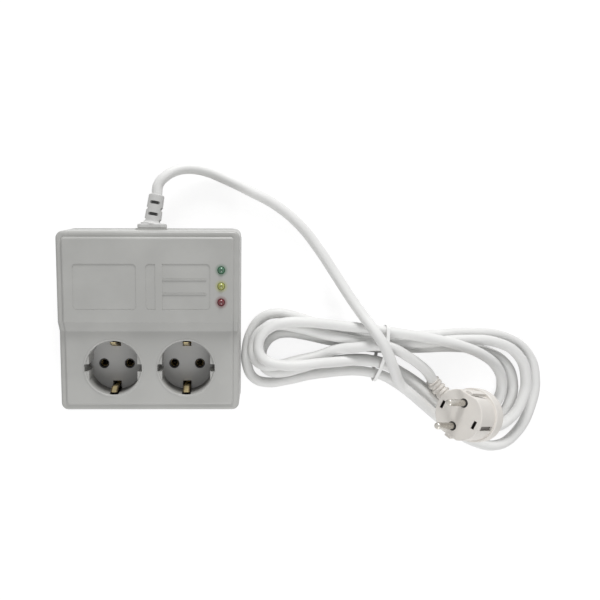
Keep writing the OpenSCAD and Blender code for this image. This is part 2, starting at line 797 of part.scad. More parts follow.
// Components hang from the back of the board: place is their corner on it
module on_board(place) {
    translate([board_x0 + place[0], board_y0 + place[1], board_z]) mirror([0, 0, 1]) children();
}
module chamfered_block(size, edge) {
    hull() {
        cube([size[0], size[1], size[2] - edge]);
        translate([edge, edge, 0]) cube([size[0] - 2 * edge, size[1] - 2 * edge, size[2]]);
    }
}
module relay() color("#2c4f86") on_board(relay_place) chamfered_block(relay_size, relay_edge);
module transformer_core() color("#6f7174") on_board(transformer_place) {
    difference() {
        translate([0, coil_bulge, 0])
            cube([transformer_size[0], transformer_size[1] - 2 * coil_bulge, transformer_size[2]]);
        translate([coil_inset, coil_bulge - overrun, coil_inset])
            cube([transformer_size[0] - 2 * coil_inset, transformer_size[1],
                transformer_size[2] - 2 * coil_inset]);
    }
}
module transformer_coil() color("#c9b45a") on_board(transformer_place) {
    gap = coil_inset + mould_gap;
    translate([gap, 0, gap])
        cube([transformer_size[0] - 2 * gap, transformer_size[1], transformer_size[2] - 2 * gap]);
    for (x = [coil_inset + coil_bulge, transformer_size[0] - coil_inset - coil_bulge])
        translate([x, coil_bulge / 2, 0]) cylinder(r = lamp_leg_t, h = gap + skin);
}
module electrolytic_capacitors() color("#2b2b30") {
    for (c = capacitor_shares) {
        r = board_l * c[2];
        on_board(on_size(c)) difference() {
            cylinder(r = r, h = board_bay * c[3]);
            translate([0, 0, capacitor_groove_h]) difference() {
                cylinder(r = r + overrun, h = capacitor_groove);
                translate([0, 0, -overrun])
                    cylinder(r = r - capacitor_groove, h = capacitor_groove + 2 * overrun);
            }
        }
    }
}
module film_capacitor() color("#c8a23c") on_board(film_place) chamfered_block(film_size, film_edge);
module varistor() color("#2d5fb0") on_board(varistor_place) {
    translate([0, varistor_t / 2, varistor_leg_l + varistor_r])
        rotate([90, 0, 0]) cylinder(r = varistor_r, h = varistor_t);
    for (x = [-1, 1])
        translate([x * varistor_r / 2, 0, 0])
            box_from([-varistor_leg_t / 2, varistor_leg_t / 2], [-varistor_leg_t / 2, varistor_leg_t / 2],
                [0, varistor_leg_l + varistor_r / 2]);
}
module control_chip() color("#26262a") on_board(chip_place) {
    translate([0, 0, chip_leg_out]) cube(chip_size);
    for (k = [0:chip_legs - 1], side = [0, 1])
        translate([chip_leg_pitch / 2 + k * chip_leg_pitch, side * chip_size[1], 0])
            box_from([0, chip_leg_w], [-chip_leg_w / 2, chip_leg_w / 2],
                [0, chip_leg_out + chip_size[2] / 2]);
}
module resistors() color("#b58a5a") {
    for (p = resistor_shares)
        on_board(on_size(p)) {
            translate([0, 0, resistor_lift]) rotate([90, 0, 0]) {
                cylinder(r = resistor_r, h = resistor_l, center = true);
                cylinder(r = resistor_lead_r, h = resistor_l + 2 * resistor_lead_out, center = true);
            }
            for (y = [-1, 1])
                translate([0, y * (resistor_l / 2 + resistor_lead_out - resistor_lead_r), 0])
                    box_from([-resistor_lead_r / 2, resistor_lead_r / 2],
                        [-resistor_lead_r / 2, resistor_lead_r / 2], [0, resistor_lift]);
        }
}
module terminal_block() color("#3f8f5a") on_board(terminal_place) {
    difference() {
        cube(terminal_size);
        for (k = [-1, 0, 1])
            translate([terminal_size[0] / 2 + k * terminal_pitch, terminal_size[1] / 2, 0]) {
                translate([0, 0, terminal_size[2] - terminal_slot_t])
                    cylinder(r = terminal_screw_r, h = overrun);
                translate([0, 0, terminal_size[2] / 2])
                    rotate([90, 0, 0]) cylinder(r = wire_r + mould_gap, h = terminal_size[1]);
            }
    }
}

// Wires inside: from the cord's end to the terminals and the earth bridge, and
// from the board down to the bars. Each starts flush with the sheath or the board
terminal_x = board_x0 + terminal_place[0] + terminal_size[0] / 2;
terminal_y = board_y0 + terminal_place[1];
terminal_z = board_z - terminal_size[2] / 2;
inner_end_y = clamp_y - cradle_l - sheath_out;
module wire(route) {
    tube(route, [for (q = route) wire_r], wire_sides, [1, 0, 0]);
}
module terminal_wire(k) {
    x = terminal_x + k * terminal_pitch;
    y = terminal_y - wire_bend;
    z = gland_z + wire_up;
    rise = terminal_z - z;
    wire([
        [k * wire_across, inner_end_y, z],
        [k * wire_across, inner_end_y - wire_straight, z],
        [mix(k * wire_across, x, 0.6), y + wire_bend / 2, z + rise / 12],
        [x, y + wire_r / 2, z + rise / 4],
        [x, y, z + rise / 2],
        [x, y + wire_r, z + 5 * rise / 6],
        [x, y + wire_bend / 2, terminal_z],
        [x, terminal_y + wire_depth, terminal_z]
    ]);
}
module feed_wire(side) {
    x = side * feed_x;
    y = board_y0 + feed_in;
    bar_y = socket_y - side * bar_offset_y;
    top_z = bar_z + bar_t;
    wire([
        [x, y, board_z],
        [x, y, board_z - wire_bend],
        [x, y - wire_r, top_z + wire_bend],
        [x, y - wire_bend / 2, top_z + wire_straight],
        [x, bar_y + wire_bend / 2, top_z + wire_straight],
        [x, bar_y + wire_r / 2, top_z + wire_straight - wire_r / 2],
        [x, bar_y, top_z + wire_r],
        [x, bar_y, top_z]
    ]);
}
module line_wires() color("#7a4a2b") {
    terminal_wire(-1);
    feed_wire(-1);
}
module neutral_wires() color("#2f5fa8") {
    terminal_wire(1);
    feed_wire(1);
}
module earth_wire() color("#9fb23a") {
    low_z = (cover_floor_t + bridge_z) / 2;
    start_z = gland_z - wire_r - mould_gap;
    end_y = socket_y - clip_root_y - bridge_tail + bridge_w / 2;
    wire([
        [0, inner_end_y, start_z],
        [0, inner_end_y - wire_straight, start_z],
        [0, inner_end_y - wire_bend, (start_z + low_z) / 2],
        [0, inner_end_y - 2 * wire_bend, low_z],
        [0, end_y + wire_straight, low_z],
        [0, end_y, (low_z + bridge_z) / 2],
        [0, end_y, bridge_z]
    ]);
}
module cord_inner_end() color(cord_white) {
    y1 = case_l / 2 - wall - boot_inner_t - mould_gap;
    translate([0, y1, gland_z]) rotate([90, 0, 0]) cylinder(r = cord_r, h = y1 - inner_end_y);
}

// Boot where the cord leaves the case: flanges on both sides of the wall,
// and a tapered body with staggered slots, flexed to one side
boot_dir = [sin(boot_lean) * cos(boot_dip), cos(boot_lean) * cos(boot_dip), -sin(boot_dip)];
boot_tip = boot_root + boot_length * boot_dir;
module boot_plate(size, y, t) {
    translate([0, y, gland_z]) rotate([-90, 0, 0])
        linear_extrude(t) rounded_rect(size[0], size[1], boot_flange_r);
}
module cable_boot() color(boot_grey) {
    inner_y = case_l / 2 - wall - mould_gap - boot_inner_t;
    boot_plate(boot_flange, wall_outer_y, boot_flange_t);
    boot_plate(boot_flange, inner_y, boot_inner_t);
    intersection() {
        gland_notch(mould_gap);
        box_from([-gland_notch_r, gland_notch_r], [inner_y, wall_outer_y + skin],
            [cover_h + mould_gap, gland_z + gland_notch_r]);
    }
    translate(boot_root) rotate([-boot_dip, 0, -boot_lean]) rotate([-90, 0, 0]) difference() {
        union() {
            translate([0, 0, -boot_flange_t / 2])
                cylinder(r1 = boot_flange[1] / 2, r2 = boot_base_r, h = boot_flange_t / 2 + boot_skirt_l);
            cylinder(r1 = boot_base_r, r2 = boot_tip_r, h = boot_length);
        }
        for (k = [0, 1], a = [0, 1, 2, 3])
            rotate([0, 0, 90 * a])
                translate([0, -boot_base_r,
                    boot_slot_first + k * boot_slot_pitch - (a % 2) * boot_slot_stagger])
                    box_from([-boot_slot_w / 2, boot_slot_w / 2], [-boot_slot_depth, boot_slot_depth],
                        [0, boot_slot_t]);
    }
}

// The hank: a ring's place from its loop and from how far round the loop it is,
// with ends that run straight
layer_pitch = cord_d + layer_gap;
tie_along = [cos(tie_turn), sin(tie_turn)];
tie_across = [-sin(tie_turn), cos(tie_turn)];
function hank_layer(n, t) =
    let (keys = concat(layer_shares[n], n + 1 < len(layer_shares) ? layer_shares[n + 1][0] : end_layer_share),
        step = floor(8 * t))
    mix(keys[step], keys[step + 1], ease(8 * t - step))
        + max([for (h = hump_shares) h[0] == n ? h[3] * (1 - ease(abs(t - h[1]) / h[2])) : 0]);
function hank_place(i) =
    let (n = floor(i / rings_per_loop), t = i / rings_per_loop - n, right = t < 0.5,
        u = right ? 2 * t : 2 * t - 1, side = right ? 1 : -1,
        fold = right ? fold_right[n] : fold_left[n],
        shape = right ? right_shape_shares : left_shape_shares,
        near = right ? waist_low[n] : waist_high[n],
        far = right ? waist_high[n] : waist_low[n + 1],
        bow = sin(180 * u), swing = sin(360 * u),
        along = side * fold[0] * (pow(bow, shape[0]) + shape[3] * swing),
        across = mix(near, far, ease(u)) + fold[1] * pow(bow, shape[1])
            - side * fold[2] * swing * pow(bow, shape[2]),
        place = tie_place + along * tie_along + across * tie_across)
    [place[0], place[1], cord_r + floor_gap + layer_pitch * hank_layer(n, t)];
hank_loops = [for (i = [first_ring:last_ring]) hank_place(i)];
hank_in = unit(hank_loops[1] - hank_loops[0]);
hank_out = tangent(hank_loops, len(hank_loops) - 1);
hank_start = hank_loops[0] - cord_d * hank_in;
hank_end = last(hank_loops) + cord_d * hank_out;
hank_path = concat([hank_start], hank_loops, [hank_end]);
module cord_hank() color(cord_white) cord_tube(hank_path, cord_r, hank_sides);

// Least gap between strands, measured from rings to tube lengths
function to_length(p, a, b) =
    let (ab = b - a, t = max(0, min(1, (p - a) * ab / (ab * ab)))) norm(p - a - t * ab);
function least(path, other, skip) = min([for (i = [0:len(path) - 1], j = [0:len(other) - 2])
    if (skip == 0 || abs(i - j) > skip) to_length(path[i], other[j], other[j + 1])]);
echo(hank_gap = least(hank_path, hank_path, rings_per_loop / 4) - cord_d);

lead_path = concat([boot_tip, boot_tip + cord_d * boot_dir], lead_route,
    [hank_start - cord_d * hank_in, hank_start]);
module cord_lead() color(cord_white) cord_tube(lead_path, cord_r, lead_sides);

// Plug places: a point in the plug's own axes, put where the plug lies
function turned_x(p, a) = [p[0], p[1] * cos(a) - p[2] * sin(a), p[1] * sin(a) + p[2] * cos(a)];
function turned_y(p, a) = [p[0] * cos(a) + p[2] * sin(a), p[1], p[2] * cos(a) - p[0] * sin(a)];
function turned_z(p, a) = [p[0] * cos(a) - p[1] * sin(a), p[0] * sin(a) + p[1] * cos(a), p[2]];
function plug_point(p) = plug_place + turned_z(turned_y(turned_x(p, plug_roll), plug_dip), plug_turn);
module on_plug() {
    translate(plug_place) rotate([plug_roll, plug_dip, plug_turn]) children();
}
rib_steps = 2 * rib_count;
rib_side = unit([rib_bend_side_share, 0, 1]);
function rib_angle(k) = rib_bend * max(0, k - 1) / (rib_steps - 1);
function rib_dir(k) = [0, -cos(rib_angle(k)), 0] + sin(rib_angle(k)) * rib_side;
function rib_place(k) = k <= 0 ? [0, -neck_out, -neck_z]
    : rib_place(k - 1) + rib_pitch / 2 * rib_dir(k - 0.5);
function rib_r(k) = mix(rib_root_r, rib_tip_r, k / rib_steps);
rib_path = [for (k = [0:rib_steps]) plug_point(rib_place(k))];
tail_start_dir = unit(last(rib_path) - rib_path[rib_steps - 1]);

tail_path = concat([hank_end, hank_end + cord_d * hank_out], tail_route,
    [last(rib_path) + cord_d * tail_start_dir, last(rib_path)]);
module cord_tail() color(cord_white) cord_tube(tail_path, cord_r, lead_sides);
echo(lead_gap = least(lead_route, hank_path, 0) - cord_d, tail_gap = least(tail_route, hank_path, 0) - cord_d,
    crossing = least(tail_path, lead_path, 0) - cord_d);

module plug_boot() color(plug_white) {
    fine = [for (k = [0:rib_steps - 1], f = [0, rib_share])
        let (p = mix(rib_path[k], rib_path[k + 1], f)) p];
    path = concat(fine, [last(rib_path)]);
    radii = [for (i = [0:len(path) - 1])
        rib_r(i / 2) - ((i % 4 == 2 || i % 4 == 3) ? rib_depth : 0)];
    tube(path, radii, rib_sides);
}

module tie_section(grow) {
    hull() for (p = tie_corners) translate(p) circle(cord_r + grow, $fn = blend_fn);
}
module cord_tie() color("#f2f2ee") {
    translate([tie_place[0], tie_place[1], 0]) rotate([0, 0, tie_turn]) rotate([90, 0, 90])
        translate([0, 0, -tie_w / 2]) linear_extrude(tie_w) difference() {
            tie_section(tie_gap + tie_t);
            tie_section(tie_gap);
        }
}

module plug_front() {
    r = plug_d / 2;
    rotate_extrude() polygon([[0, 0], [r - plug_chamfer, 0], [r, -plug_chamfer],
        [r, -plug_front_l - overrun], [0, -plug_front_l - overrun]]);
}
module plug_cap() {
    r = plug_cap_d / 2;
    back = plug_front_l + plug_cap_l;
    rotate_extrude() {
        translate([0, -back]) square([r - plug_cap_r, plug_cap_l]);
        translate([0, plug_cap_r - back]) square([r, plug_cap_l - plug_cap_r]);
        translate([r - plug_cap_r, plug_cap_r - back]) circle(plug_cap_r);
    }
}
module plug_body() color(plug_white) on_plug() {
    reach = plug_d / 2 + overrun;
    key_reach = plug_flat_gap / 2 + plug_key_out;
    difference() {
        union() {
            intersection() {
                plug_front();
                box_from([-plug_flat_gap / 2, plug_flat_gap / 2], [-reach, reach],
                    [-plug_front_l - 2 * overrun, overrun]);
            }
            box_from([-key_reach, key_reach], [-plug_key_w / 2, plug_key_w / 2],
                [-plug_front_l - overrun, -plug_chamfer]);
            plug_cap();
            translate([0, 0, -neck_z]) rotate([90, 0, 0]) {
                cylinder(r = rib_root_r, h = neck_out);
                linear_extrude(neck_out - overrun) rounded_rect(neck_w, neck_h, neck_r);
            }
        }
        for (x = [-1, 1]) post([x * pin_pitch / 2, 0], plug_ring_r, -plug_ring_depth, overrun);
        for (y = [-1, 1]) {
            translate([0, y * earth_slot_y, 0])
                box_from([-earth_slot[0] / 2, earth_slot[0] / 2], [-earth_slot[1] / 2, earth_slot[1] / 2],
                    [-earth_slot_depth, overrun]);
            translate([0, y * (earth_strip_y + reach / 2), 0])
                box_from([-earth_groove_w / 2, earth_groove_w / 2], [-reach / 2, reach / 2],
                    [-earth_strip_drop - earth_strip_l - mould_gap, -earth_strip_drop]);
        }
    }
}
module plug_pins() color(steel) on_plug() {
    for (x = [-1, 1])
        translate([x * pin_pitch / 2, 0, -plug_ring_depth]) {
            cylinder(r = pin_d / 2, h = pin_length + plug_ring_depth - pin_nose);
            translate([0, 0, pin_length + plug_ring_depth - pin_nose])
                cylinder(r1 = pin_d / 2, r2 = pin_tip_r, h = pin_nose);
        }
}
module plug_earth_contacts() color(steel) on_plug() {
    for (y = [-1, 1])
        translate([0, y * (earth_strip_y + earth_strip_t / 2), 0])
            box_from([-earth_strip_w / 2, earth_strip_w / 2], [-earth_strip_t / 2, earth_strip_t / 2],
                [-earth_strip_drop - earth_strip_l, -earth_strip_drop - skin]);
}

front_housing();
rear_cover();
housing_screws();
socket_well_left();
socket_well_right();
contact_carrier_left();
contact_carrier_right();
carrier_screws();
line_busbar();
neutral_busbar();
earth_bridge();
earth_clip_left_top();
earth_clip_left_bottom();
earth_clip_right_top();
earth_clip_right_bottom();
lamp_green();
lamp_yellow();
lamp_red();
circuit_board();
board_screws();
relay();
transformer_core();
transformer_coil();
electrolytic_capacitors();
film_capacitor();
varistor();
control_chip();
resistors();
terminal_block();
line_wires();
neutral_wires();
earth_wire();
cable_clamp();
clamp_screws();
cord_inner_end();
cable_boot();
cord_lead();
cord_hank();
cord_tail();
cord_tie();
plug_body();
plug_boot();
plug_pins();
plug_earth_contacts();
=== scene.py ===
# Voltage protector on an extension lead: a square case with two earthed
# sockets, its tied mains cord and its right-angle plug, dressed over the
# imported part. All lengths are in metres, unless a comment says otherwise.

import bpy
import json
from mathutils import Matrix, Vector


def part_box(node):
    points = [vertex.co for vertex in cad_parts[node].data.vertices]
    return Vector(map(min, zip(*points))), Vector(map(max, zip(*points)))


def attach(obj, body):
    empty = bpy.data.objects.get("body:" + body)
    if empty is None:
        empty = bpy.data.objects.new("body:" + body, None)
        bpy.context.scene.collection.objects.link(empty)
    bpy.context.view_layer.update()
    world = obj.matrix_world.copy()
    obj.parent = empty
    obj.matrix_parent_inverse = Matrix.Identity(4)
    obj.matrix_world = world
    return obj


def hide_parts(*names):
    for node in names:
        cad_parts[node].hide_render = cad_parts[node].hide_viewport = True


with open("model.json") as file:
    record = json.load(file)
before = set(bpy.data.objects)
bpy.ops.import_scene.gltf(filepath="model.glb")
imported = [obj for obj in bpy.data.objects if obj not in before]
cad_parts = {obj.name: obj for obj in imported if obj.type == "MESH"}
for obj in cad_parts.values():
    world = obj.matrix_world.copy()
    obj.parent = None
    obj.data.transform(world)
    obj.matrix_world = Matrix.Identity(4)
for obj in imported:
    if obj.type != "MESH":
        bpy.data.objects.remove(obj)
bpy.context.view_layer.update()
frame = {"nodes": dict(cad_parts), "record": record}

import json
import math

import bmesh
import bpy
from mathutils import Euler, Matrix, Vector

bl_info = {
    "name": "Voltage Protector Lead",
    "version": (1, 0, 0),
    "blender": (4, 5, 0),
    "location": "View3D > Sidebar > Lead",
    "description": "Models the case, sockets, lamps, cord and plug of a voltage protector",
    "category": "Object",
}

MM = 0.001
NEAR = 0.01 * MM
BODY = "case"

# Case: its walls, panels, ramp and ledge
CASE_W = 128 * MM
CASE_L = 128 * MM
SEAM_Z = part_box("front_housing")[0][2]
SEAM_FLARE = 2.6 * MM
WALL_OUTER_Y = CASE_L / 2 + SEAM_FLARE
WALL = 2.2 * MM
TOP_Z = 54 * MM
STEP = 4.6 * MM
LOW_Z = TOP_Z - STEP
PANEL_ROOT = 4 * MM
PANEL_CORNER = 2.4 * MM
LEDGE_W = 4 * MM
LEDGE_DROP = 2 * MM
RAMP_TOP_Y = 64.5 * MM - CASE_L / 2
RAMP_RUN = 7 * MM
UPPER_L = CASE_L / 2 - RAMP_TOP_Y
OPENING_EASE = 0.16 * MM

# Label fields: their sides as shares of half the case, and their ribs
LABEL_TOP_Y = CASE_L / 2 - 0.356 * UPPER_L
LABEL_L = 0.505 * UPPER_L
LABEL_CORNER = 2.5 * MM
LABEL_END_SHARE = 0.83
LEFT_LABEL_SHARES = (-0.817, -0.13)
RIGHT_LABEL_SHARES = (-0.025, 0.675)
BAR_SHARES = (0.08, 0.156)
RIB_SHARES = (0.334, 0.642)
RIB_W = 0.7 * MM

# Sockets: the wells, their rims, flats, key notches and clip windows
SOCKET_X = 26 * MM
SOCKET_Y = -33 * MM
FLOOR_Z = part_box("contact_carrier_left")[1][2]
RECESS_R = 19.5 * MM
WELL_R = 21.4 * MM
WELL_SPIGOT = 2.5 * MM
WELL_RIM = 1.1 * MM
WELL_PROUD = 0.12 * MM
FLANGE_DROP = 2.35 * MM
FLANGE_W = 2.1 * MM
FLANGE_T = 1.6 * MM
FLAT_X = 17.2 * MM
KEY_HALF_W = 2.7 * MM
WINDOW_HALF_W = 3.2 * MM
WINDOW_DROP = 1.4 * MM
WINDOW_REACH = (12 * MM, WELL_R + 3 * MM)
PIN_X = 9.5 * MM

# Outline of the dark liner put in a pin hole as painted shade, in mm: radius, and depth below the floor
SHADE_LINER = [(3.78, 0.5), (3.6, 0.35), (3.1, 0.5), (2.6, 2.2), (2.5, 2.95), (3.78, 2.95)]

# Lamps, by colour from the inlet side down
LAMP_X = 51 * MM
LAMP_PITCH = 11.2 * MM
LAMP_MID_Y = CASE_L / 2 - 0.601 * UPPER_L
LAMPS = {"green": LAMP_MID_Y + LAMP_PITCH, "yellow": LAMP_MID_Y, "red": LAMP_MID_Y - LAMP_PITCH}
LAMP_R = 2.5 * MM
LAMP_HOLE_R = 2.68 * MM
LAMP_RISE = 1.6 * MM
LAMP_L = 8.6 * MM
LAMP_FLANGE_R = 2.9 * MM
LEG_HALF = 0.25 * MM
LEG_X = 1.27 * MM
LEG_DROP = 10.2 * MM

# Boot at the case, with the flange seat round it
CORD_D = 8 * MM
BOOT_ROOT = Vector((0, WALL_OUTER_Y + 3.2 * MM, 19.98 * MM))
BOOT_LEAN = math.radians(9)
BOOT_DIP = math.radians(6)
BOOT_L = 21.7 * MM
BOOT_BASE_R = 6.3 * MM
BOOT_TIP_R = 5.8 * MM
BOOT_BORE_R = 3.9 * MM
BOOT_FLANGE_HALF = (10.5 * MM, 8.5 * MM)
BOOT_FLANGE_CORNER = 4 * MM
INNER_FLANGE_GAP = 2.75 * MM
INNER_FLANGE_T = 2.6 * MM
BOOT_FLARE = (2.2 * MM, 2.6 * MM)
BOOT_CROWN = 0.8 * MM
NECK_HALF_W = 5.7 * MM
NOTCH_HALF_W = 5.85 * MM
SEAT_HALF_W = 11.3 * MM
SEAT_RISE = 9.3 * MM
SLOT_FIRST, SLOT_ROW, SLOT_SHIFT = 5.6 * MM, 8.6 * MM, 4.3 * MM
SLOT_HALF_W, SLOT_DEPTH, SLOT_H = 3.7 * MM, 2.2 * MM, 2.3 * MM

# Plug, in its own axes: pins along z, front face at zero, boot along -y
PLUG_PLACE = Vector((220, -65.7, 54.6)) * MM
PLUG_TURN = Euler((math.radians(54.7), math.radians(9.7), math.radians(-109.5)), "XYZ")
PLUG_MATRIX = Matrix.Translation(PLUG_PLACE) @ PLUG_TURN.to_matrix().to_4x4()
PLUG_FRONT_R = 18.3 * MM
PLUG_FLAT_X = 16.9 * MM
PLUG_KEY = (18.8 * MM, 2.4 * MM)
PLUG_WAIST_Z = -18.5 * MM
CAP_R = 19.7 * MM
CAP_TOP_Z = -17.5 * MM
CAP_BACK_Z = -28 * MM
CAP_ROUND = 3 * MM
PLUG_CORD_Z = -22.7 * MM
PLUG_NECK_HALF = (7.5 * MM, 4.25 * MM)
PLUG_NECK_Y = -19.5 * MM
COLLAR_R = 5.4 * MM
RING_R = 3.3 * MM
RING_Z = -1.4 * MM
FACE_SLOT_HALF = (3.1 * MM, 1.2 * MM)
FACE_SLOT_Y = 13.8 * MM
GROOVE_HALF_W = 1.7 * MM
GROOVE_Y = (16.4 * MM, 24 * MM)
GROOVE_Z = (-16.15 * MM, -2 * MM)
STRIP_HALF_W = 1.6 * MM
STRIP_Y = (16.4 * MM, 17.2 * MM)
STRIP_Z = (-16 * MM, -2.02 * MM)
PIN_R = 2.4 * MM
PIN_L = 19 * MM
PIN_NOSE = (1.1 * MM, 1.3 * MM)

# Outline of the dark ring put in the recess round a pin as painted shade, in mm: radius, and height over the
# plug's face
PIN_SHADE_RING = [(2.42, -1.38), (3.28, -1.38), (3.28, -0.35), (3.1, -0.2), (2.42, -0.3)]

# Ribbed boot: its root, steps and bend, with its radii and groove depth in mm
RIB_ROOT_Y = -20.5 * MM
RIB_SIDE = Vector((-0.9, 0, 1)).normalized()
RIB_STEPS = 10
RIB_PITCH = 4.4 * MM
RIB_BEND = math.radians(66)
RIB_RADII = (6.3, 5.3)
RIB_DEPTH = 1.1
RIB_FLAT = 0.75

# Hank: for each loop in turn its fold's reach, hang and half width, where its
# strands cross the tie, and in which layer they lie at eight places, in mm. The
# shape of a side's folds is how full they are, how their hang sets in, and skew.
TIE_PLACE = Vector((175, -30)) * MM
TIE_TURN = math.radians(-7)
TIE_AXIS = Vector((math.cos(TIE_TURN), math.sin(TIE_TURN)))
TIE_CROSS = Vector((-math.sin(TIE_TURN), math.cos(TIE_TURN)))
RINGS = 24
LAST_RING = 95
FOLD_RIGHT = [(128, -27, 38), (111, -21, 27.5), (101.5, -32, 16), (116, -23, 33)]
FOLD_LEFT = [(103, -7.5, 21), (91, -11, 14), (96, -8.5, 8.5), (99, -11, 15.5)]
SHAPE_RIGHT = (1, 1.5, -0.06)
SHAPE_LEFT = (0.6, 1.2, 0)
WAIST_LOW = [-16, -16.5, -6.5, -6.5, 1]
WAIST_HIGH = [13, 4, 19, 8.5]
LAYERS = [
    (2.4, 1.1, 0, 0, 0.15, 0, 0, 0),
    (0.15, 0, 0, 0, 0.15, 0, 0, 0.7),
    (0.15, 0, 0, 1.3, 1.2, 2, 2.1, 2.3),
    (1.15, 1, 1, 1, 1.15, 0.9, 0.9, 1.35),
]
END_LAYER = 1.1
LOWEST = 4.2
LAYER_RISE = 8.6
HUMPS = [(2, 0.44, 0.12, 0.95), (2, 0.94, 0.1, 0.7)]

# Routes of the free lead and of the tail, and the tie's section, in mm
LEAD_ROUTE = [
    (10, 105.2, 15.6), (17.6, 109.6, 13), (27, 111.4, 10), (39, 110, 7),
    (55, 104, 4.8), (74, 95, 4.2), (93.5, 84.6, 4.2), (112, 69.5, 4.2),
    (127, 51, 4.6), (140, 31, 8), (150, 14.5, 14.4), (159, 0.5, 22),
    (166, -10, 29.6), (171.5, -19, 33), (176, -28, 33), (180, -36.5, 31),
]
TAIL_ROUTE = [
    (142, -25, 16.8), (152, -23.5, 20.2), (162, -21.8, 22.5),
    (173, -21.5, 23), (184, -24.5, 22.4), (193.5, -30, 20.5), (202.5, -36, 18.4),
]
TIE_CORNERS = [(-17.9, 5.5), (14.4, 5.5), (19.2, 18.8), (7.4, 23.4), (-8.9, 14.1)]
TIE_REACH = 4.35
TIE_W = 2.6 * MM
TIE_T = 0.8 * MM

# Camera, fitted to the photograph, with its turn in degrees
CAMERA_PLACE = (0.04757, 0.05629, 0.46973)
CAMERA_TURN = (-6.353, -0.543, 0.085)
CAMERA_SHIFT = (0.13, 0.015)

# Colours that no user setting holds
BLACK_PLASTIC = (0.012, 0.012, 0.013)
# Painted shade for the deep wall of each socket recess
WELL_SHADE = (0.06, 0.055, 0.05)
BRASS_TARNISH = (0.09, 0.06, 0.03)
# Painted shade deep in the cable boot's slots
SLOT_SHADE = (0.015, 0.015, 0.015)
# Painted shade inside the plug's face slots and pin rings
PLUG_OPENING_SHADE = (0.02, 0.018, 0.016)


# Selection and editing

def deselect_all():
    if bpy.context.object and bpy.context.object.mode != "OBJECT":
        bpy.ops.object.mode_set(mode="OBJECT")
    bpy.ops.object.select_all(action="DESELECT")


def pick(obj):
    """Makes obj the only selected object, and the active one."""
    deselect_all()
    obj.select_set(True)
    bpy.context.view_layer.objects.active = obj


def edit(obj, kind="VERT"):
    """Opens obj in edit mode with nothing selected, and picks by kind."""
    pick(obj)
    bpy.ops.object.mode_set(mode="EDIT")
    bpy.ops.mesh.select_mode(type=kind)
    bpy.ops.mesh.select_all(action="DESELECT")


def take_all():
    bpy.ops.mesh.select_all(action="SELECT")


def leave():
    bpy.ops.object.mode_set(mode="OBJECT")


def split(point, normal, **ends):
    """Cuts the open mesh by a plane. The ends say which side is cleared."""
    take_all()
    bpy.ops.mesh.bisect(plane_co=point, plane_no=normal, **ends)


def select_verts(test):
    """Selects the vertices for which test is true, in edit mode."""
    mesh = bmesh.from_edit_mesh(bpy.context.object.data)
    for v in mesh.verts:
        v.select = bool(test(v.co))
    mesh.select_flush_mode()
    bmesh.update_edit_mesh(bpy.context.object.data)


def round_edges(obj, test, width, steps):
    """Bevels the edges that test picks."""
    edit(obj, "EDGE")
    mesh = bmesh.from_edit_mesh(obj.data)
    mesh.normal_update()
    count = 0
    for edge in mesh.edges:
        edge.select = bool(test(edge))
        count += edge.select
    bmesh.update_edit_mesh(obj.data)
    if count:
        bpy.ops.mesh.bevel(offset=width, segments=steps, affect="EDGES", profile=0.5, clamp_overlap=True)
    leave()
    if not count:
        raise RuntimeError("no edges to round on " + obj.name)


def is_sharp(edge, degrees=50):
    return len(edge.link_faces) == 2 and edge.calc_face_angle(0) > math.radians(degrees)


def soften(obj, width, steps):
    """Bevels all sharp edges of a plain piece."""
    round_edges(obj, lambda edge: is_sharp(edge, 60), width, steps)


def upright(edge):
    """Tells an edge that stands, or nearly stands on a flared wall."""
    a, b = edge.verts
    rise = abs(a.co.z - b.co.z)
    return rise > 4 * abs(a.co.xy.length - b.co.xy.length) + NEAR and (a.co.xy - b.co.xy).length < 0.2 * rise


def along_y(edge):
    a, b = edge.verts
    return abs(a.co.y - b.co.y) > MM


def apply_place(obj):
    pick(obj)
    bpy.ops.object.transform_apply(location=True, rotation=True, scale=True)


def place(obj, matrix):
    """Moves a piece by a matrix, and keeps its place in its mesh."""
    obj.matrix_world = matrix @ obj.matrix_world
    apply_place(obj)


def apply_modifier(obj, kind, **settings):
    """Gives a piece one modifier, and makes its effect part of the mesh."""
    pick(obj)
    modifier = obj.modifiers.new("Change", kind)
    for key, value in settings.items():
        setattr(modifier, key, value)
    bpy.ops.object.modifier_apply(modifier="Change")


def ease_edges(obj, width, degrees):
    """Rounds all edges that are sharper than an angle."""
    apply_modifier(obj, "BEVEL", width=width, segments=2, limit_method="ANGLE",
                   angle_limit=math.radians(degrees))


def combine(obj, other, operation):
    """Joins or cuts obj by other, which is then removed."""
    apply_modifier(obj, "BOOLEAN", operation=operation, solver="EXACT", object=other)
    bpy.data.objects.remove(other, do_unlink=True)


def cut(obj, other):
    combine(obj, other, "DIFFERENCE")


def unite(obj, other):
    combine(obj, other, "UNION")


def merge(objects, name):
    """Makes one object of several."""
    deselect_all()
    for obj in objects:
        obj.select_set(True)
    bpy.context.view_layer.objects.active = objects[0]
    bpy.ops.object.join()
    bpy.context.object.name = name
    return bpy.context.object


def settle(obj, name, material, replaces=(), angle=32, slot=None):
    """Finishes a piece: closed, outward and smooth, with its material and its body."""
    edit(obj)
    take_all()
    bpy.ops.mesh.remove_doubles(threshold=2e-6)
    bpy.ops.mesh.normals_make_consistent(inside=False)
    leave()
    pick(obj)
    bpy.ops.object.shade_smooth_by_angle(angle=math.radians(angle))
    apply_modifier(obj, "WEIGHTED_NORMAL", keep_sharp=True)
    obj.name = name
    obj.data.name = name
    obj.data.materials.clear()
    obj.data.materials.append(material)
    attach(obj, BODY)
    if replaces:
        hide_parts(*replaces)


# Plain shapes

def named(name):
    """Names the object just added, and keeps its place in its mesh."""
    obj = bpy.context.object
    obj.name = name
    apply_place(obj)
    return obj


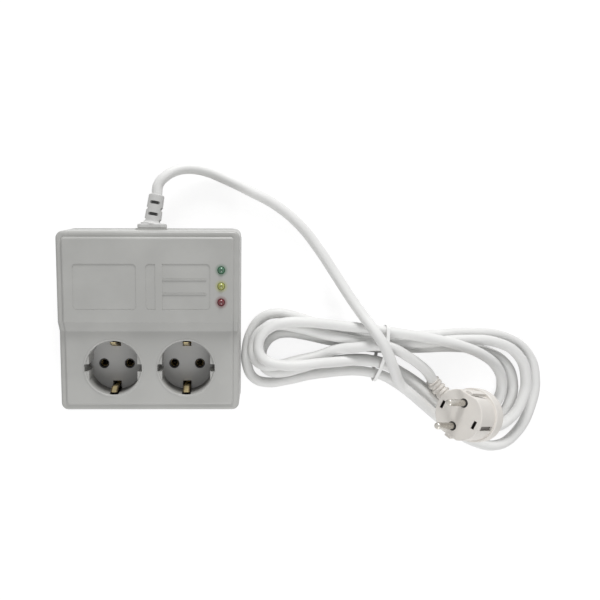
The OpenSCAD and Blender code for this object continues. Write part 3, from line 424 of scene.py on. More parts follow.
def add_block(name, low, high):
    """Adds a block between two corners, with its place in its mesh."""
    deselect_all()
    middle = [(a + b) / 2 for a, b in zip(low, high)]
    size = [b - a for a, b in zip(low, high)]
    bpy.ops.mesh.primitive_cube_add(size=1, location=middle, scale=size)
    return named(name)


def add_bar(name, half_w, y, z):
    """Adds a block that reaches as far to either side of the middle plane."""
    return add_block(name, (-half_w, min(y), min(z)), (half_w, max(y), max(z)))


def add_drum(name, centre, radius, z0, z1, sides=96):
    """Adds an upright drum between two heights."""
    deselect_all()
    bpy.ops.mesh.primitive_cylinder_add(vertices=sides, radius=radius, depth=z1 - z0,
                                        location=(centre[0], centre[1], (z0 + z1) / 2))
    return named(name)


def rounded_plate(name, x, y, z, radius):
    """Adds a plate with round upright corners."""
    plate = add_block(name, (x[0], y[0], z[0]), (x[1], y[1], z[1]))
    round_edges(plate, upright, radius, 6)
    return plate


def quarter(centre, radii, steps=6):
    """Gives the points of a quarter ellipse, from its side to its end."""
    angles = [math.pi / 2 * k / steps for k in range(steps + 1)]
    return [(centre[0] + radii[0] * math.cos(a), centre[1] + radii[1] * math.sin(a)) for a in angles]


def lathe(name, outline, centre, steps, closed=True):
    """Spins a half outline of (radius, height) points round an upright axis."""
    deselect_all()
    mesh = bpy.data.meshes.new(name)
    points = [(centre[0] + r, centre[1], z) for r, z in outline]
    edges = [(i, i + 1) for i in range(len(points) - 1)]
    if closed:
        edges.append((len(points) - 1, 0))
    mesh.from_pydata(points, edges, [])
    obj = bpy.data.objects.new(name, mesh)
    bpy.context.collection.objects.link(obj)
    edit(obj)
    take_all()
    bpy.ops.mesh.spin(steps=steps, angle=math.tau, center=(centre[0], centre[1], 0), axis=(0, 0, 1))
    take_all()
    bpy.ops.mesh.remove_doubles(threshold=1e-6)
    bpy.ops.mesh.normals_make_consistent(inside=False)
    leave()
    return obj


def add_curve(name, points, radius, radii=None, resolution=5, rounds=5):
    """Adds a round tube along a smooth curve through points."""
    deselect_all()
    bpy.ops.curve.primitive_bezier_curve_add(location=(0, 0, 0))
    obj = bpy.context.object
    obj.name = name
    curve = obj.data
    spline = curve.splines[0]
    spline.bezier_points.add(len(points) - 2)
    for index, (knot, point) in enumerate(zip(spline.bezier_points, points)):
        knot.co = point
        knot.handle_left_type = "AUTO"
        knot.handle_right_type = "AUTO"
        knot.radius = radii[index] if radii else 1
    curve.dimensions = "3D"
    curve.resolution_u = resolution
    curve.render_resolution_u = resolution
    curve.bevel_depth = radius
    curve.bevel_resolution = rounds
    curve.use_fill_caps = True
    curve.use_radius = True
    return obj


# Shader nodes and the effects that several materials share

def add_node(tree, kind, inputs=None, **settings):
    """Adds a shader node. Its inputs take plain values or other nodes' sockets."""
    node = tree.nodes.new("ShaderNode" + kind)
    for key, value in settings.items():
        setattr(node, key, value)
    for key, value in (inputs or {}).items():
        if isinstance(value, bpy.types.NodeSocket):
            tree.links.new(value, node.inputs[key])
        else:
            node.inputs[key].default_value = value
    return node


def pair(a, b):
    return {0: a} if b is None else {0: a, 1: b}


def math_node(tree, operation, a, b=None, clamp=False):
    return add_node(tree, "Math", pair(a, b), operation=operation, use_clamp=clamp).outputs[0]


def both(tree, a, b):
    """Multiplies two masks."""
    return math_node(tree, "MULTIPLY", a, b, True)


def vector_node(tree, operation, a, b=None, output="Vector"):
    return add_node(tree, "VectorMath", pair(a, b), operation=operation).outputs[output]


def range_node(tree, value, low, high, to_low=0.0, to_high=1.0, smooth=True):
    """Maps a value from one range to another."""
    inputs = {"Value": value, "From Min": low, "From Max": high, "To Min": to_low, "To Max": to_high}
    kind = "SMOOTHSTEP" if smooth else "LINEAR"
    return add_node(tree, "MapRange", inputs, interpolation_type=kind).outputs["Result"]


def noise(tree, vector, scale, **inputs):
    return add_node(tree, "TexNoise", {"Vector": vector, "Scale": scale, **inputs}).outputs["Fac"]


def object_places(tree):
    return add_node(tree, "TexCoord").outputs["Object"]


def shared_group(name, defaults, labels, fill):
    """Gives the node group of this name. The first time, fill makes its outputs."""
    group = bpy.data.node_groups.get(name)
    if group:
        return group
    group = bpy.data.node_groups.new(name, "ShaderNodeTree")
    group.interface.new_socket("Vector", in_out="INPUT", socket_type="NodeSocketVector")
    for label, value in defaults.items():
        socket = group.interface.new_socket(label, in_out="INPUT", socket_type="NodeSocketFloat")
        socket.default_value = value
    for label in labels:
        group.interface.new_socket(label, in_out="OUTPUT", socket_type="NodeSocketFloat")
    start = group.nodes.new("NodeGroupInput")
    end = group.nodes.new("NodeGroupOutput")
    for label, result in zip(labels, fill(group, start.outputs)):
        group.links.new(result, end.inputs[label])
    return group


def moulded_grain():
    """Fine mould grain, with broad soft clouds from the flow of the plastic."""
    def fill(group, start):
        fine = noise(group, start["Vector"], start["Grain"], Detail=3, Roughness=0.6)
        broad = noise(group, start["Vector"], start["Clouds"], Detail=4)
        return fine, range_node(group, broad, 0.3, 0.7)
    return shared_group("Moulded grain", {"Grain": 2600.0, "Clouds": 28.0}, ("Height", "Cloud"), fill)


def handling_marks():
    """Sparse scuffs and specks from handling, as masks."""
    def fill(group, start):
        scuff = noise(group, start["Vector"], start["Scale"], Detail=6, Distortion=1.2)
        mark = range_node(group, scuff, 0.55, 0.78)
        small = math_node(group, "MULTIPLY", start["Scale"], 5.0)
        speck = add_node(group, "TexVoronoi", {"Vector": start["Vector"], "Scale": small})
        dot = range_node(group, speck.outputs["Distance"], 0.0, 0.09, 1.0, 0.0)
        return [both(group, mask, start["Amount"]) for mask in (mark, dot)]
    return shared_group("Handling marks", {"Scale": 90.0, "Amount": 0.5}, ("Mark", "Speck"), fill)


def brushed_streaks():
    """Long fine streaks along one axis, for drawn and plated metal."""
    def fill(group, start):
        stretch = add_node(group, "Mapping", {"Vector": start["Vector"], "Scale": (1.0, 1.0, 0.08)})
        streak = noise(group, stretch.outputs["Vector"], start["Scale"], Detail=4)
        tarnish = noise(group, start["Vector"], 160, Detail=5)
        return streak, range_node(group, tarnish, 0.42, 0.7)
    return shared_group("Brushed streaks", {"Scale": 900.0}, ("Height", "Tarnish"), fill)


def place_group(tree, group, vector, **values):
    return add_node(tree, "Group", {"Vector": vector, **values}, node_tree=group).outputs


def mix_colours(tree, factor, first, second):
    """Mixes two colours, each plain or a socket."""
    sides = [side if isinstance(side, bpy.types.NodeSocket) else (*side[:3], 1.0) for side in (first, second)]
    return add_node(tree, "Mix", {0: factor, 6: sides[0], 7: sides[1]}, data_type="RGBA").outputs[2]


def shade(colour, factor):
    return tuple(c * factor for c in colour[:3])


def begin_material(name):
    material = bpy.data.materials.new(name)
    material.use_nodes = True
    tree = material.node_tree
    return material, tree, tree.nodes["Principled BSDF"], object_places(tree)


def bump(tree, shader, height, strength, depth):
    node = add_node(tree, "Bump", {"Strength": strength, "Distance": depth, "Height": height})
    tree.links.new(node.outputs["Normal"], shader.inputs["Normal"])


def moulded_plastic(name, colour, rough, grain=2600.0, relief=0.25, marks=0.35, tint=0.05):
    """Moulded plastic: grain in its relief, flow clouds and scuffs in colour and gloss."""
    material, tree, shader, where = begin_material(name)
    grains = place_group(tree, moulded_grain(), where, Grain=grain)
    wear = place_group(tree, handling_marks(), where, Amount=marks)
    tone = mix_colours(tree, grains["Cloud"], shade(colour, 1 - tint), shade(colour, 1 + tint))
    worn = mix_colours(tree, wear["Speck"], tone, shade(colour, 0.72))
    tree.links.new(worn, shader.inputs["Base Color"])
    dull = math_node(tree, "MULTIPLY", wear["Mark"], 0.18)
    flow = range_node(tree, grains["Cloud"], 0.0, 1.0, rough - 0.03, rough + 0.03, False)
    tree.links.new(math_node(tree, "ADD", flow, dull, True), shader.inputs["Roughness"])
    bump(tree, shader, grains["Height"], relief, 0.06 * MM)
    return material


def plated_metal(name, colour, rough, tarnish=(0.3, 0.22, 0.1), share=0.3):
    """Plated or drawn metal: streaks in its relief and a little tarnish."""
    material, tree, shader, where = begin_material(name)
    streaks = place_group(tree, brushed_streaks(), where)
    part = math_node(tree, "MULTIPLY", streaks["Tarnish"], share)
    tree.links.new(mix_colours(tree, part, colour, tarnish), shader.inputs["Base Color"])
    dull = range_node(tree, streaks["Tarnish"], 0.0, 1.0, rough, rough + 0.2, False)
    tree.links.new(dull, shader.inputs["Roughness"])
    shader.inputs["Metallic"].default_value = 1.0
    bump(tree, shader, streaks["Height"], 0.2, 0.03 * MM)
    return material


def lamp_plastic(name, colour, y):
    """Tinted lamp lens: darker over its chip, lighter where the rim gathers light."""
    material, tree, shader, where = begin_material(name)
    grains = place_group(tree, moulded_grain(), where, Grain=900.0, Clouds=400.0)
    shift = add_node(tree, "Mapping", {"Vector": where, "Location": (-LAMP_X, -y, 0)})
    flat = vector_node(tree, "MULTIPLY", shift.outputs["Vector"], (1, 1, 0))
    rim = range_node(tree, vector_node(tree, "LENGTH", flat, output="Value"), 0.6 * MM, 2.4 * MM)
    lens = mix_colours(tree, rim, shade(colour, 0.55), shade(colour, 1.25))
    tone = mix_colours(tree, grains["Cloud"], lens, shade(colour, 0.9))
    tree.links.new(mix_colours(tree, 0.4, lens, tone), shader.inputs["Base Color"])
    tree.links.new(range_node(tree, grains["Cloud"], 0, 1, 0.16, 0.24, False), shader.inputs["Roughness"])
    shader.inputs["Coat Weight"].default_value = 0.5
    bump(tree, shader, grains["Height"], 0.1, 0.03 * MM)
    return material


def axis_places(tree, where, root, direction):
    """Gives how far a surface point is from an axis, and how far along it."""
    away = vector_node(tree, "SUBTRACT", where, root)
    turn = vector_node(tree, "CROSS_PRODUCT", away, direction)
    return (vector_node(tree, "LENGTH", turn, output="Value"),
            vector_node(tree, "DOT_PRODUCT", away, direction, "Value"))


def lay_colour(material, mask_of, colour):
    """Lays a colour on a finish where mask_of says."""
    tree = material.node_tree
    base = tree.nodes["Principled BSDF"].inputs["Base Color"]
    clean = base.links[0].from_socket
    tree.links.new(mix_colours(tree, mask_of(tree, object_places(tree)), clean, colour), base)
    return material


def seen_directly(tree):
    """Tells the rays that show a backdrop from the rays that light the piece."""
    path = add_node(tree, "LightPath").outputs
    seen = math_node(tree, "MAXIMUM", path["Is Camera Ray"], path["Is Glossy Ray"])
    return math_node(tree, "MAXIMUM", seen, path["Is Transmission Ray"])


# Sizes and colours that a user would change

def length_value(name, description, default, low, high):
    return bpy.props.FloatProperty(name=name, description=description, default=default * MM,
                                   min=low * MM, max=high * MM, unit="LENGTH")


def colour_value(name, description, *default):
    return bpy.props.FloatVectorProperty(name=name, description=description, default=default,
                                         min=0, max=1, subtype="COLOR")


def power_value(name, description, default):
    return bpy.props.FloatProperty(name=name, description=description, default=default, min=0, unit="POWER")


class CaseSettings(bpy.types.PropertyGroup):
    """Sizes and colours of the case, its sockets and its lamps."""
    corner_radius: length_value("Corner radius", "Radius of the case's corners, seen from the front", 5, 3, 8)
    rim_radius: length_value("Rim radius", "Rounding between the ledge and the side walls", 2, 0.5, 3)
    panel_radius: length_value("Panel radius", "Rounding round the raised front panels", 1.8, 0.4, 2)
    label_depth: length_value("Label depth", "Depth of the sunk label fields", 0.45, 0.2, 1)
    plastic: colour_value("Case colour", "Colour of the moulded case", 0.435, 0.435, 0.42)
    floor_plastic: colour_value("Socket floor colour", "Colour of the contact carriers under the recesses",
                                0.40, 0.40, 0.395)
    green_lamp: colour_value("Green lamp", "Colour of the green lamp's lens", 0.045, 0.16, 0.085)
    yellow_lamp: colour_value("Yellow lamp", "Colour of the yellow lamp's lens", 0.36, 0.38, 0.09)
    red_lamp: colour_value("Red lamp", "Colour of the red lamp's lens", 0.16, 0.012, 0.02)


class CordSettings(bpy.types.PropertyGroup):
    """Size and colours of the mains cord, its boots and its tie."""
    diameter: length_value("Cord diameter", "Outer diameter of the mains cord", CORD_D / MM, 6, 9)
    sheath: colour_value("Cord colour", "Colour of the cord's sheath", 0.80, 0.80, 0.79)
    boot: colour_value("Boot colour", "Colour of the boot at the case", 0.64, 0.64, 0.63)
    strap: colour_value("Tie colour", "Colour of the tie round the hank", 0.9, 0.9, 0.89)


class PlugSettings(bpy.types.PropertyGroup):
    """Colours of the mains plug."""
    plastic: colour_value("Plug colour", "Colour of the plug's body and boot", 0.74, 0.71, 0.67)
    pin: colour_value("Pin colour", "Colour of the plated pins", 0.56, 0.54, 0.50)


class StageSettings(bpy.types.PropertyGroup):
    """Camera, light and floor."""
    lens: bpy.props.FloatProperty(
        name="Lens", description="Focal length of the camera", default=35.94, min=20, max=120)
    key: power_value("Key light", "Power of the soft lamp beyond the cord end", 10.5)
    fill: power_value("Fill light", "Power of the soft lamp beyond the socket end", 2.8)
    sky: bpy.props.FloatProperty(
        name="Sky", description="Strength of the even light all round", default=0.4, min=0, max=2)


# Case

def stepped_block(name, inset, base_z, drop, corner, rim, flare=0.0):
    """A block whose top follows the two panels and the ramp between them."""
    half_w = CASE_W / 2 - inset
    half_l = CASE_L / 2 - inset
    low_z = LOW_Z - drop
    block = add_block(name, (-half_w, -half_l, base_z), (half_w, half_l, low_z))
    edit(block)
    for y in (RAMP_TOP_Y - RAMP_RUN, RAMP_TOP_Y):
        split((0, y, 0), (0, 1, 0))
    select_verts(lambda co: co.z > low_z - NEAR and co.y > RAMP_TOP_Y - NEAR)
    bpy.ops.transform.translate(value=(0, 0, STEP))
    if flare:
        select_verts(lambda co: co.z < base_z + NEAR)
        bpy.ops.transform.resize(value=((half_w + flare) / half_w, (half_l + flare) / half_l, 1),
                                 center_override=(0, 0, base_z))
    leave()

    def at_corner(edge):
        foot = edge.verts[0].co
        return upright(edge) and abs(foot.x) > half_w - 10 * NEAR and abs(foot.y) > half_l - 10 * NEAR

    def at_top(edge):
        slopes = [face.normal.z for face in edge.link_faces]
        return len(slopes) == 2 and max(slopes) > 0.5 and abs(min(slopes)) < 0.3

    round_edges(block, at_corner, corner, 8)
    round_edges(block, at_top, rim, 5)
    return block


def label_cutters(depth):
    """The shapes that sink the two label fields, the right one with its ribs."""
    z = (TOP_Z - depth, TOP_Z + 2 * MM)
    y = (LABEL_TOP_Y - LABEL_L, LABEL_TOP_Y)
    past_z = (z[0] - MM, z[1] + MM)
    half = CASE_W / 2
    left, right = [rounded_plate("field", (low * half, high * half), y, z, LABEL_CORNER)
                   for low, high in (LEFT_LABEL_SHARES, RIGHT_LABEL_SHARES)]
    bar_x = [share * half for share in BAR_SHARES]
    cut(right, add_block("bar", (bar_x[0], y[0] - MM, past_z[0]), (bar_x[1], y[1] + MM, past_z[1])))
    rib_end = RIGHT_LABEL_SHARES[1] * half - LABEL_CORNER
    for share in RIB_SHARES:
        top = LABEL_TOP_Y - share * LABEL_L
        cut(right, add_block("rib", (bar_x[1], top - RIB_W, past_z[0]), (rib_end, top, past_z[1])))
    return [left, right]


class LEAD_OT_front_housing(bpy.types.Operator):
    """Models the front housing with its ledge, ramp, openings and label fields"""
    bl_idname = "lead.front_housing"
    bl_label = "Front housing"

    def execute(self, context):
        case = context.scene.lead_case
        half_w = CASE_W / 2
        half_l = CASE_L / 2
        shell = stepped_block("housing_front", 0, SEAM_Z, LEDGE_DROP, case.corner_radius, case.rim_radius,
                              SEAM_FLARE)
        unite(shell, stepped_block("panel", LEDGE_W, LOW_Z - PANEL_ROOT, 0, PANEL_CORNER, case.panel_radius))
        unite(shell, rounded_plate("seat", (-SEAT_HALF_W, SEAT_HALF_W), (half_l - WALL, WALL_OUTER_Y),
                                   (SEAM_Z, BOOT_ROOT.z + SEAT_RISE), 0.4 * MM))
        cut(shell, add_bar("hollow", half_w - WALL, (WALL - half_l, half_l - WALL),
                           (SEAM_Z - MM, LOW_Z - LEDGE_DROP - WALL)))
        inner = WALL + LEDGE_W / 2
        cut(shell, add_bar("upper", half_w - inner, (RAMP_TOP_Y + WALL, half_l - inner),
                           (LOW_Z - 4 * WALL, TOP_Z - LEDGE_DROP - WALL)))
        past = 9 * MM
        for x in (-SOCKET_X, SOCKET_X):
            cut(shell, add_drum("opening", (x, SOCKET_Y), WELL_R + 0.03 * MM, LOW_Z - past, LOW_Z + past))
        for y in reversed(LAMPS.values()):
            cut(shell, add_drum("lamp_hole", (LAMP_X, y), LAMP_HOLE_R, LOW_Z - past, TOP_Z + past, 40))
        for cutter in label_cutters(case.label_depth):
            cut(shell, cutter)
        cut(shell, add_bar("notch", NOTCH_HALF_W, (half_l - 5 * MM, half_l + 5 * MM),
                           (SEAM_Z - MM, BOOT_ROOT.z + 5 * MM)))

        def at_rim(edge):
            a, b = (vert.co for vert in edge.verts)
            if not is_sharp(edge) or min(a.z, b.z) < TOP_Z - 2 * NEAR:
                return False
            at_label = LABEL_TOP_Y - LABEL_L - 10 * NEAR < a.y < LABEL_TOP_Y + 10 * NEAR \
                and abs(a.x) < LABEL_END_SHARE * half_w
            return at_label or abs(a.x - LAMP_X) < 3 * MM

        round_edges(shell, at_rim, OPENING_EASE, 2)
        settle(shell, "front_shell", PALETTE["housing"], replaces=("front_housing",), slot="housing")
        return {"FINISHED"}


class LEAD_OT_socket_wells(bpy.types.Operator):
    """Models the socket wells: turned bowls with flats, key notches and clip windows"""
    bl_idname = "lead.socket_wells"
    bl_label = "Socket wells"

    def execute(self, context):
        left = self.model((-SOCKET_X, SOCKET_Y))
        pick(left)
        bpy.ops.object.duplicate(linked=False)
        right = bpy.context.object
        right.location.x += 2 * SOCKET_X
        apply_place(right)
        for bowl, node in ((left, "socket_well_left"), (right, "socket_well_right")):
            name = node.replace("socket_well", "well")
            settle(bowl, name, PALETTE["well"], replaces=(node,), slot="housing")
        return {"FINISHED"}

    def model(self, centre):
        bottom = FLOOR_Z - WELL_SPIGOT
        flange = LOW_Z - FLANGE_DROP
        top = LOW_Z + WELL_PROUD
        rim = quarter((RECESS_R + WELL_RIM, top - WELL_RIM), (-WELL_RIM, WELL_RIM))
        outline = [(RECESS_R, bottom)] + rim + [
            (WELL_R - 0.5 * MM, top), (WELL_R - 0.1 * MM, LOW_Z), (WELL_R, LOW_Z - 0.05 * MM),
            (WELL_R, flange), (WELL_R + FLANGE_W, flange), (WELL_R + FLANGE_W, flange - FLANGE_T),
            (WELL_R, flange - FLANGE_T), (WELL_R, bottom)]
        bowl = lathe("well", outline, centre, 128)
        for side in (-1, 1):
            cheek = add_drum("cheek", centre, RECESS_R + 0.6 * MM, FLOOR_Z + 0.02 * MM, LOW_Z - MM, 128)
            edit(cheek)
            split((centre[0] + side * FLAT_X, 0, 0), (side, 0, 0), clear_inner=True, use_fill=True)
            leave()
            unite(bowl, cheek)
        self.cut_box(bowl, centre, RECESS_R + MM, (-KEY_HALF_W, KEY_HALF_W), (FLOOR_Z - MM, LOW_Z + MM))
        for side in (-1, 1):
            self.cut_box(bowl, centre, WINDOW_HALF_W, [side * y for y in WINDOW_REACH],
                         (FLOOR_Z - 4 * MM, LOW_Z - WINDOW_DROP))
        ease_edges(bowl, OPENING_EASE, 50)
        return bowl

    def cut_box(self, bowl, centre, half_w, y, z):
        cut(bowl, add_block("box", (centre[0] - half_w, centre[1] + min(y), z[0]),
                            (centre[0] + half_w, centre[1] + max(y), z[1])))


class LEAD_OT_socket_floors(bpy.types.Operator):
    """Models the dark liners that line the pin holes, as painted shade"""
    bl_idname = "lead.socket_floors"
    bl_label = "Pin hole bushings"

    def execute(self, context):
        outline = [(radius * MM, FLOOR_Z - depth * MM) for radius, depth in SHADE_LINER]
        # Painted shade: black liners put in the pin holes, where shade falls
        rings = [lathe("bushing", outline, (x + pin, SOCKET_Y), 40)
                 for x in (-SOCKET_X, SOCKET_X) for pin in (-PIN_X, PIN_X)]
        settle(merge(rings, "pin_bushings"), "pin_bushings", PALETTE["shadow"])
        return {"FINISHED"}


class LEAD_OT_lamps(bpy.types.Operator):
    """Models the three signal lamps, each a domed lens on a flange"""
    bl_idname = "lead.lamps"
    bl_label = "Signal lamps"

    def execute(self, context):
        top = TOP_Z + LAMP_RISE
        base = top - LAMP_L
        outline = [(0, base), (LAMP_FLANGE_R, base), (LAMP_FLANGE_R, base + MM), (LAMP_R, base + MM)] \
            + quarter((0, top - LAMP_R), (LAMP_R, LAMP_R), 10)
        for name, y in LAMPS.items():
            lens = lathe("lens", outline, (LAMP_X, y), 40, False)
            legs = [add_block("leg", (x - LEG_HALF, y - LEG_HALF, TOP_Z - LEG_DROP),
                              (x + LEG_HALF, y + LEG_HALF, base + 0.2 * MM))
                    for x in (LAMP_X - LEG_X, LAMP_X + LEG_X)]
            settle(merge([lens] + legs, "lamp"), "lens_" + name, PALETTE["lamp_" + name],
                   replaces=("lamp_" + name,), angle=40, slot="lamp_" + name)
        return {"FINISHED"}


# Cord, boot and tie

def ease_in_out(t):
    t = max(0.0, min(1.0, t))
    return t * t * (3 - 2 * t)


def blend_values(a, b, t):
    return a + (b - a) * t


def boot_direction():
    return Vector((math.sin(BOOT_LEAN) * math.cos(BOOT_DIP), math.cos(BOOT_LEAN) * math.cos(BOOT_DIP),
                   -math.sin(BOOT_DIP)))


def hank_ring(i):
    """Place of ring i of the hank: a loop's fold to the right, then to the left."""
    n = i // RINGS
    t = (i % RINGS) / RINGS
    right = t < 0.5
    u = 2 * t if right else 2 * t - 1
    side = 1 if right else -1
    reach, hang, half = (FOLD_RIGHT if right else FOLD_LEFT)[n]
    fullness, onset, skew = SHAPE_RIGHT if right else SHAPE_LEFT
    near, far = (WAIST_LOW[n], WAIST_HIGH[n]) if right else (WAIST_HIGH[n], WAIST_LOW[n + 1])
    bow = max(0.0, math.sin(math.pi * u))
    swing = math.sin(math.tau * u)
    along = side * reach * (bow ** fullness + skew * swing)
    across = blend_values(near, far, ease_in_out(u)) + hang * bow ** onset - side * half * swing * bow ** 0.5
    keys = list(LAYERS[n]) + [LAYERS[n + 1][0] if n + 1 < len(LAYERS) else END_LAYER]
    step = int(8 * t)
    layer = blend_values(keys[step], keys[step + 1], ease_in_out(8 * t - step))
    for loop, middle, length, rise in HUMPS:
        if loop == n:
            layer += rise * (1 - ease_in_out(abs(t - middle) / length))
    spot = TIE_PLACE + (along * TIE_AXIS + across * TIE_CROSS) * MM
    return Vector((spot.x, spot.y, (LOWEST + LAYER_RISE * layer) * MM))


def rib_points():
    """Middle line of the plug's ribbed boot, in the plug's own axes."""
    points = [Vector((0, RIB_ROOT_Y, PLUG_CORD_Z))]
    for k in range(1, RIB_STEPS + 1):
        angle = RIB_BEND * max(0.0, k - 1.5) / (RIB_STEPS - 1)
        way = Vector((0, -math.cos(angle), 0)) + math.sin(angle) * RIB_SIDE
        points.append(points[-1] + RIB_PITCH / 2 * way)
    return points


def cord_points():
    """Middle line of the whole cord: lead, hank and tail."""
    out = boot_direction()
    tip = BOOT_ROOT + BOOT_L * out
    loops = [hank_ring(i) for i in range(1, LAST_RING)]
    way_in = CORD_D * (loops[1] - loops[0]).normalized()
    way_out = CORD_D * (loops[-1] - loops[-2]).normalized()
    start = loops[0] - way_in
    end = loops[-1] + way_out
    ribs = [PLUG_MATRIX @ p for p in rib_points()]
    last = CORD_D * (ribs[-1] - ribs[-2]).normalized()
    lead, tail = [[Vector(p) * MM for p in route] for route in (LEAD_ROUTE, TAIL_ROUTE)]
    return [tip, tip + CORD_D * out] + lead + [start - way_in, start] + loops \
        + [end, end + way_out] + tail + [ribs[-1] + last, ribs[-1]]


class LEAD_OT_cord(bpy.types.Operator):
    """Models the mains cord as one curve, from the case's boot through the hank to the plug"""
    bl_idname = "lead.cord"
    bl_label = "Mains cord"

    def execute(self, context):
        points = cord_points()
        cord = add_curve("mains_cord", points, context.scene.lead_cord.diameter / 2)
        cord.data.materials.append(PALETTE["cord"])
        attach(cord, BODY)
        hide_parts("cord_lead", "cord_hank", "cord_tail")
        return {"FINISHED"}


class LEAD_OT_cable_boot(bpy.types.Operator):
    """Models the slotted boot where the cord leaves the case"""
    bl_idname = "lead.cable_boot"
    bl_label = "Cable boot"

    def execute(self, context):
        inner = CASE_L / 2 - WALL - INNER_FLANGE_GAP
        z = BOOT_ROOT.z
        half_w, half_h = BOOT_FLANGE_HALF
        plates = []
        outside = (WALL_OUTER_Y, BOOT_ROOT.y)
        inside = (inner, inner + INNER_FLANGE_T)
        for y, edge in ((outside, 0.7 * MM), (inside, 0.4 * MM)):
            plate = add_bar("plate", half_w, y, (z - half_h, z + half_h))
            round_edges(plate, along_y, BOOT_FLANGE_CORNER, 8)
            soften(plate, edge, 3)
            plates.append(plate)
        neck = add_bar("neck", NECK_HALF_W, (inner, WALL_OUTER_Y + 0.2 * MM),
                       (SEAM_Z + 0.2 * MM, z + 4.9 * MM))
        boot = merge([self.sleeve(), neck] + plates, "boot")
        settle(boot, "cord_boot", PALETTE["boot"], replaces=("cable_boot",), angle=38, slot="boot")
        return {"FINISHED"}

    def sleeve(self):
        """The tapered sleeve, modelled upright and then leant out of the case."""
        root_z = -1.6 * MM
        flare_w, flare_h = BOOT_FLARE
        flare = quarter((BOOT_BASE_R + flare_w, flare_h - 0.4 * MM), (-flare_w, -flare_h))[::-1]
        crown = quarter((BOOT_TIP_R - BOOT_CROWN, BOOT_L - BOOT_CROWN), (BOOT_CROWN, BOOT_CROWN), 4)
        outline = [(0, root_z), (BOOT_BASE_R + flare_w, root_z)] + flare + crown \
            + [(BOOT_BORE_R, BOOT_L - 0.1 * MM), (0, BOOT_L - MM)]
        body = lathe("sleeve", outline, (0, 0), 64, False)
        for row in (0, 1):
            for turn in range(4):
                z = SLOT_FIRST + SLOT_ROW * row - SLOT_SHIFT * (turn % 2)
                slot = add_bar("slot", SLOT_HALF_W, (-BOOT_BASE_R - SLOT_DEPTH, -BOOT_BASE_R + SLOT_DEPTH),
                               (z, z + SLOT_H))
                round_edges(slot, along_y, 0.9 * MM, 4)
                place(slot, Matrix.Rotation(math.radians(90 * turn), 4, "Z"))
                cut(body, slot)
        ease_edges(body, 0.25 * MM, 55)
        lean = Euler((-BOOT_DIP, 0, -BOOT_LEAN), "XYZ").to_matrix().to_4x4()
        place(body, Matrix.Translation(BOOT_ROOT) @ lean @ Matrix.Rotation(math.radians(-90), 4, "X"))
        return body


def hull_of(points):
    """Convex outline of plane points, anticlockwise."""
    points = sorted(set((round(x, 7), round(y, 7)) for x, y in points))

    def turns_left(a, b, c):
        return (b[0] - a[0]) * (c[1] - a[1]) - (b[1] - a[1]) * (c[0] - a[0]) > 0

    def half(row):
        out = []
        for point in row:
            while len(out) > 1 and not turns_left(out[-2], out[-1], point):
                out.pop()
            out.append(point)
        return out[:-1]

    return half(points) + half(points[::-1])


class LEAD_OT_tie(bpy.types.Operator):
    """Models the strap that ties the hank's waist"""
    bl_idname = "lead.tie"
    bl_label = "Hank tie"

    def execute(self, context):
        angles = [math.tau * k / 40 for k in range(40)]
        loop = hull_of([((x + TIE_REACH * math.cos(a)) * MM, (z + TIE_REACH * math.sin(a)) * MM)
                        for x, z in TIE_CORNERS for a in angles])
        axis = TIE_AXIS.to_3d()
        cross = TIE_CROSS.to_3d()
        deselect_all()
        bpy.ops.mesh.primitive_circle_add(vertices=len(loop), radius=20 * MM)
        strap = bpy.context.object
        for vertex, (w, z) in zip(strap.data.vertices, loop):
            vertex.co = TIE_PLACE.to_3d() + cross * w + Vector((0, 0, z)) - axis * TIE_W / 2
        edit(strap)
        take_all()
        bpy.ops.mesh.extrude_edges_move(TRANSFORM_OT_translate={"value": axis * TIE_W})
        take_all()
        bpy.ops.mesh.normals_make_consistent(inside=False)
        leave()
        apply_modifier(strap, "SOLIDIFY", thickness=TIE_T, offset=1)
        soften(strap, 0.22 * MM, 2)
        settle(strap, "tie_strap", PALETTE["tie"], replaces=("cord_tie",), slot="tie")
        return {"FINISHED"}


# Plug

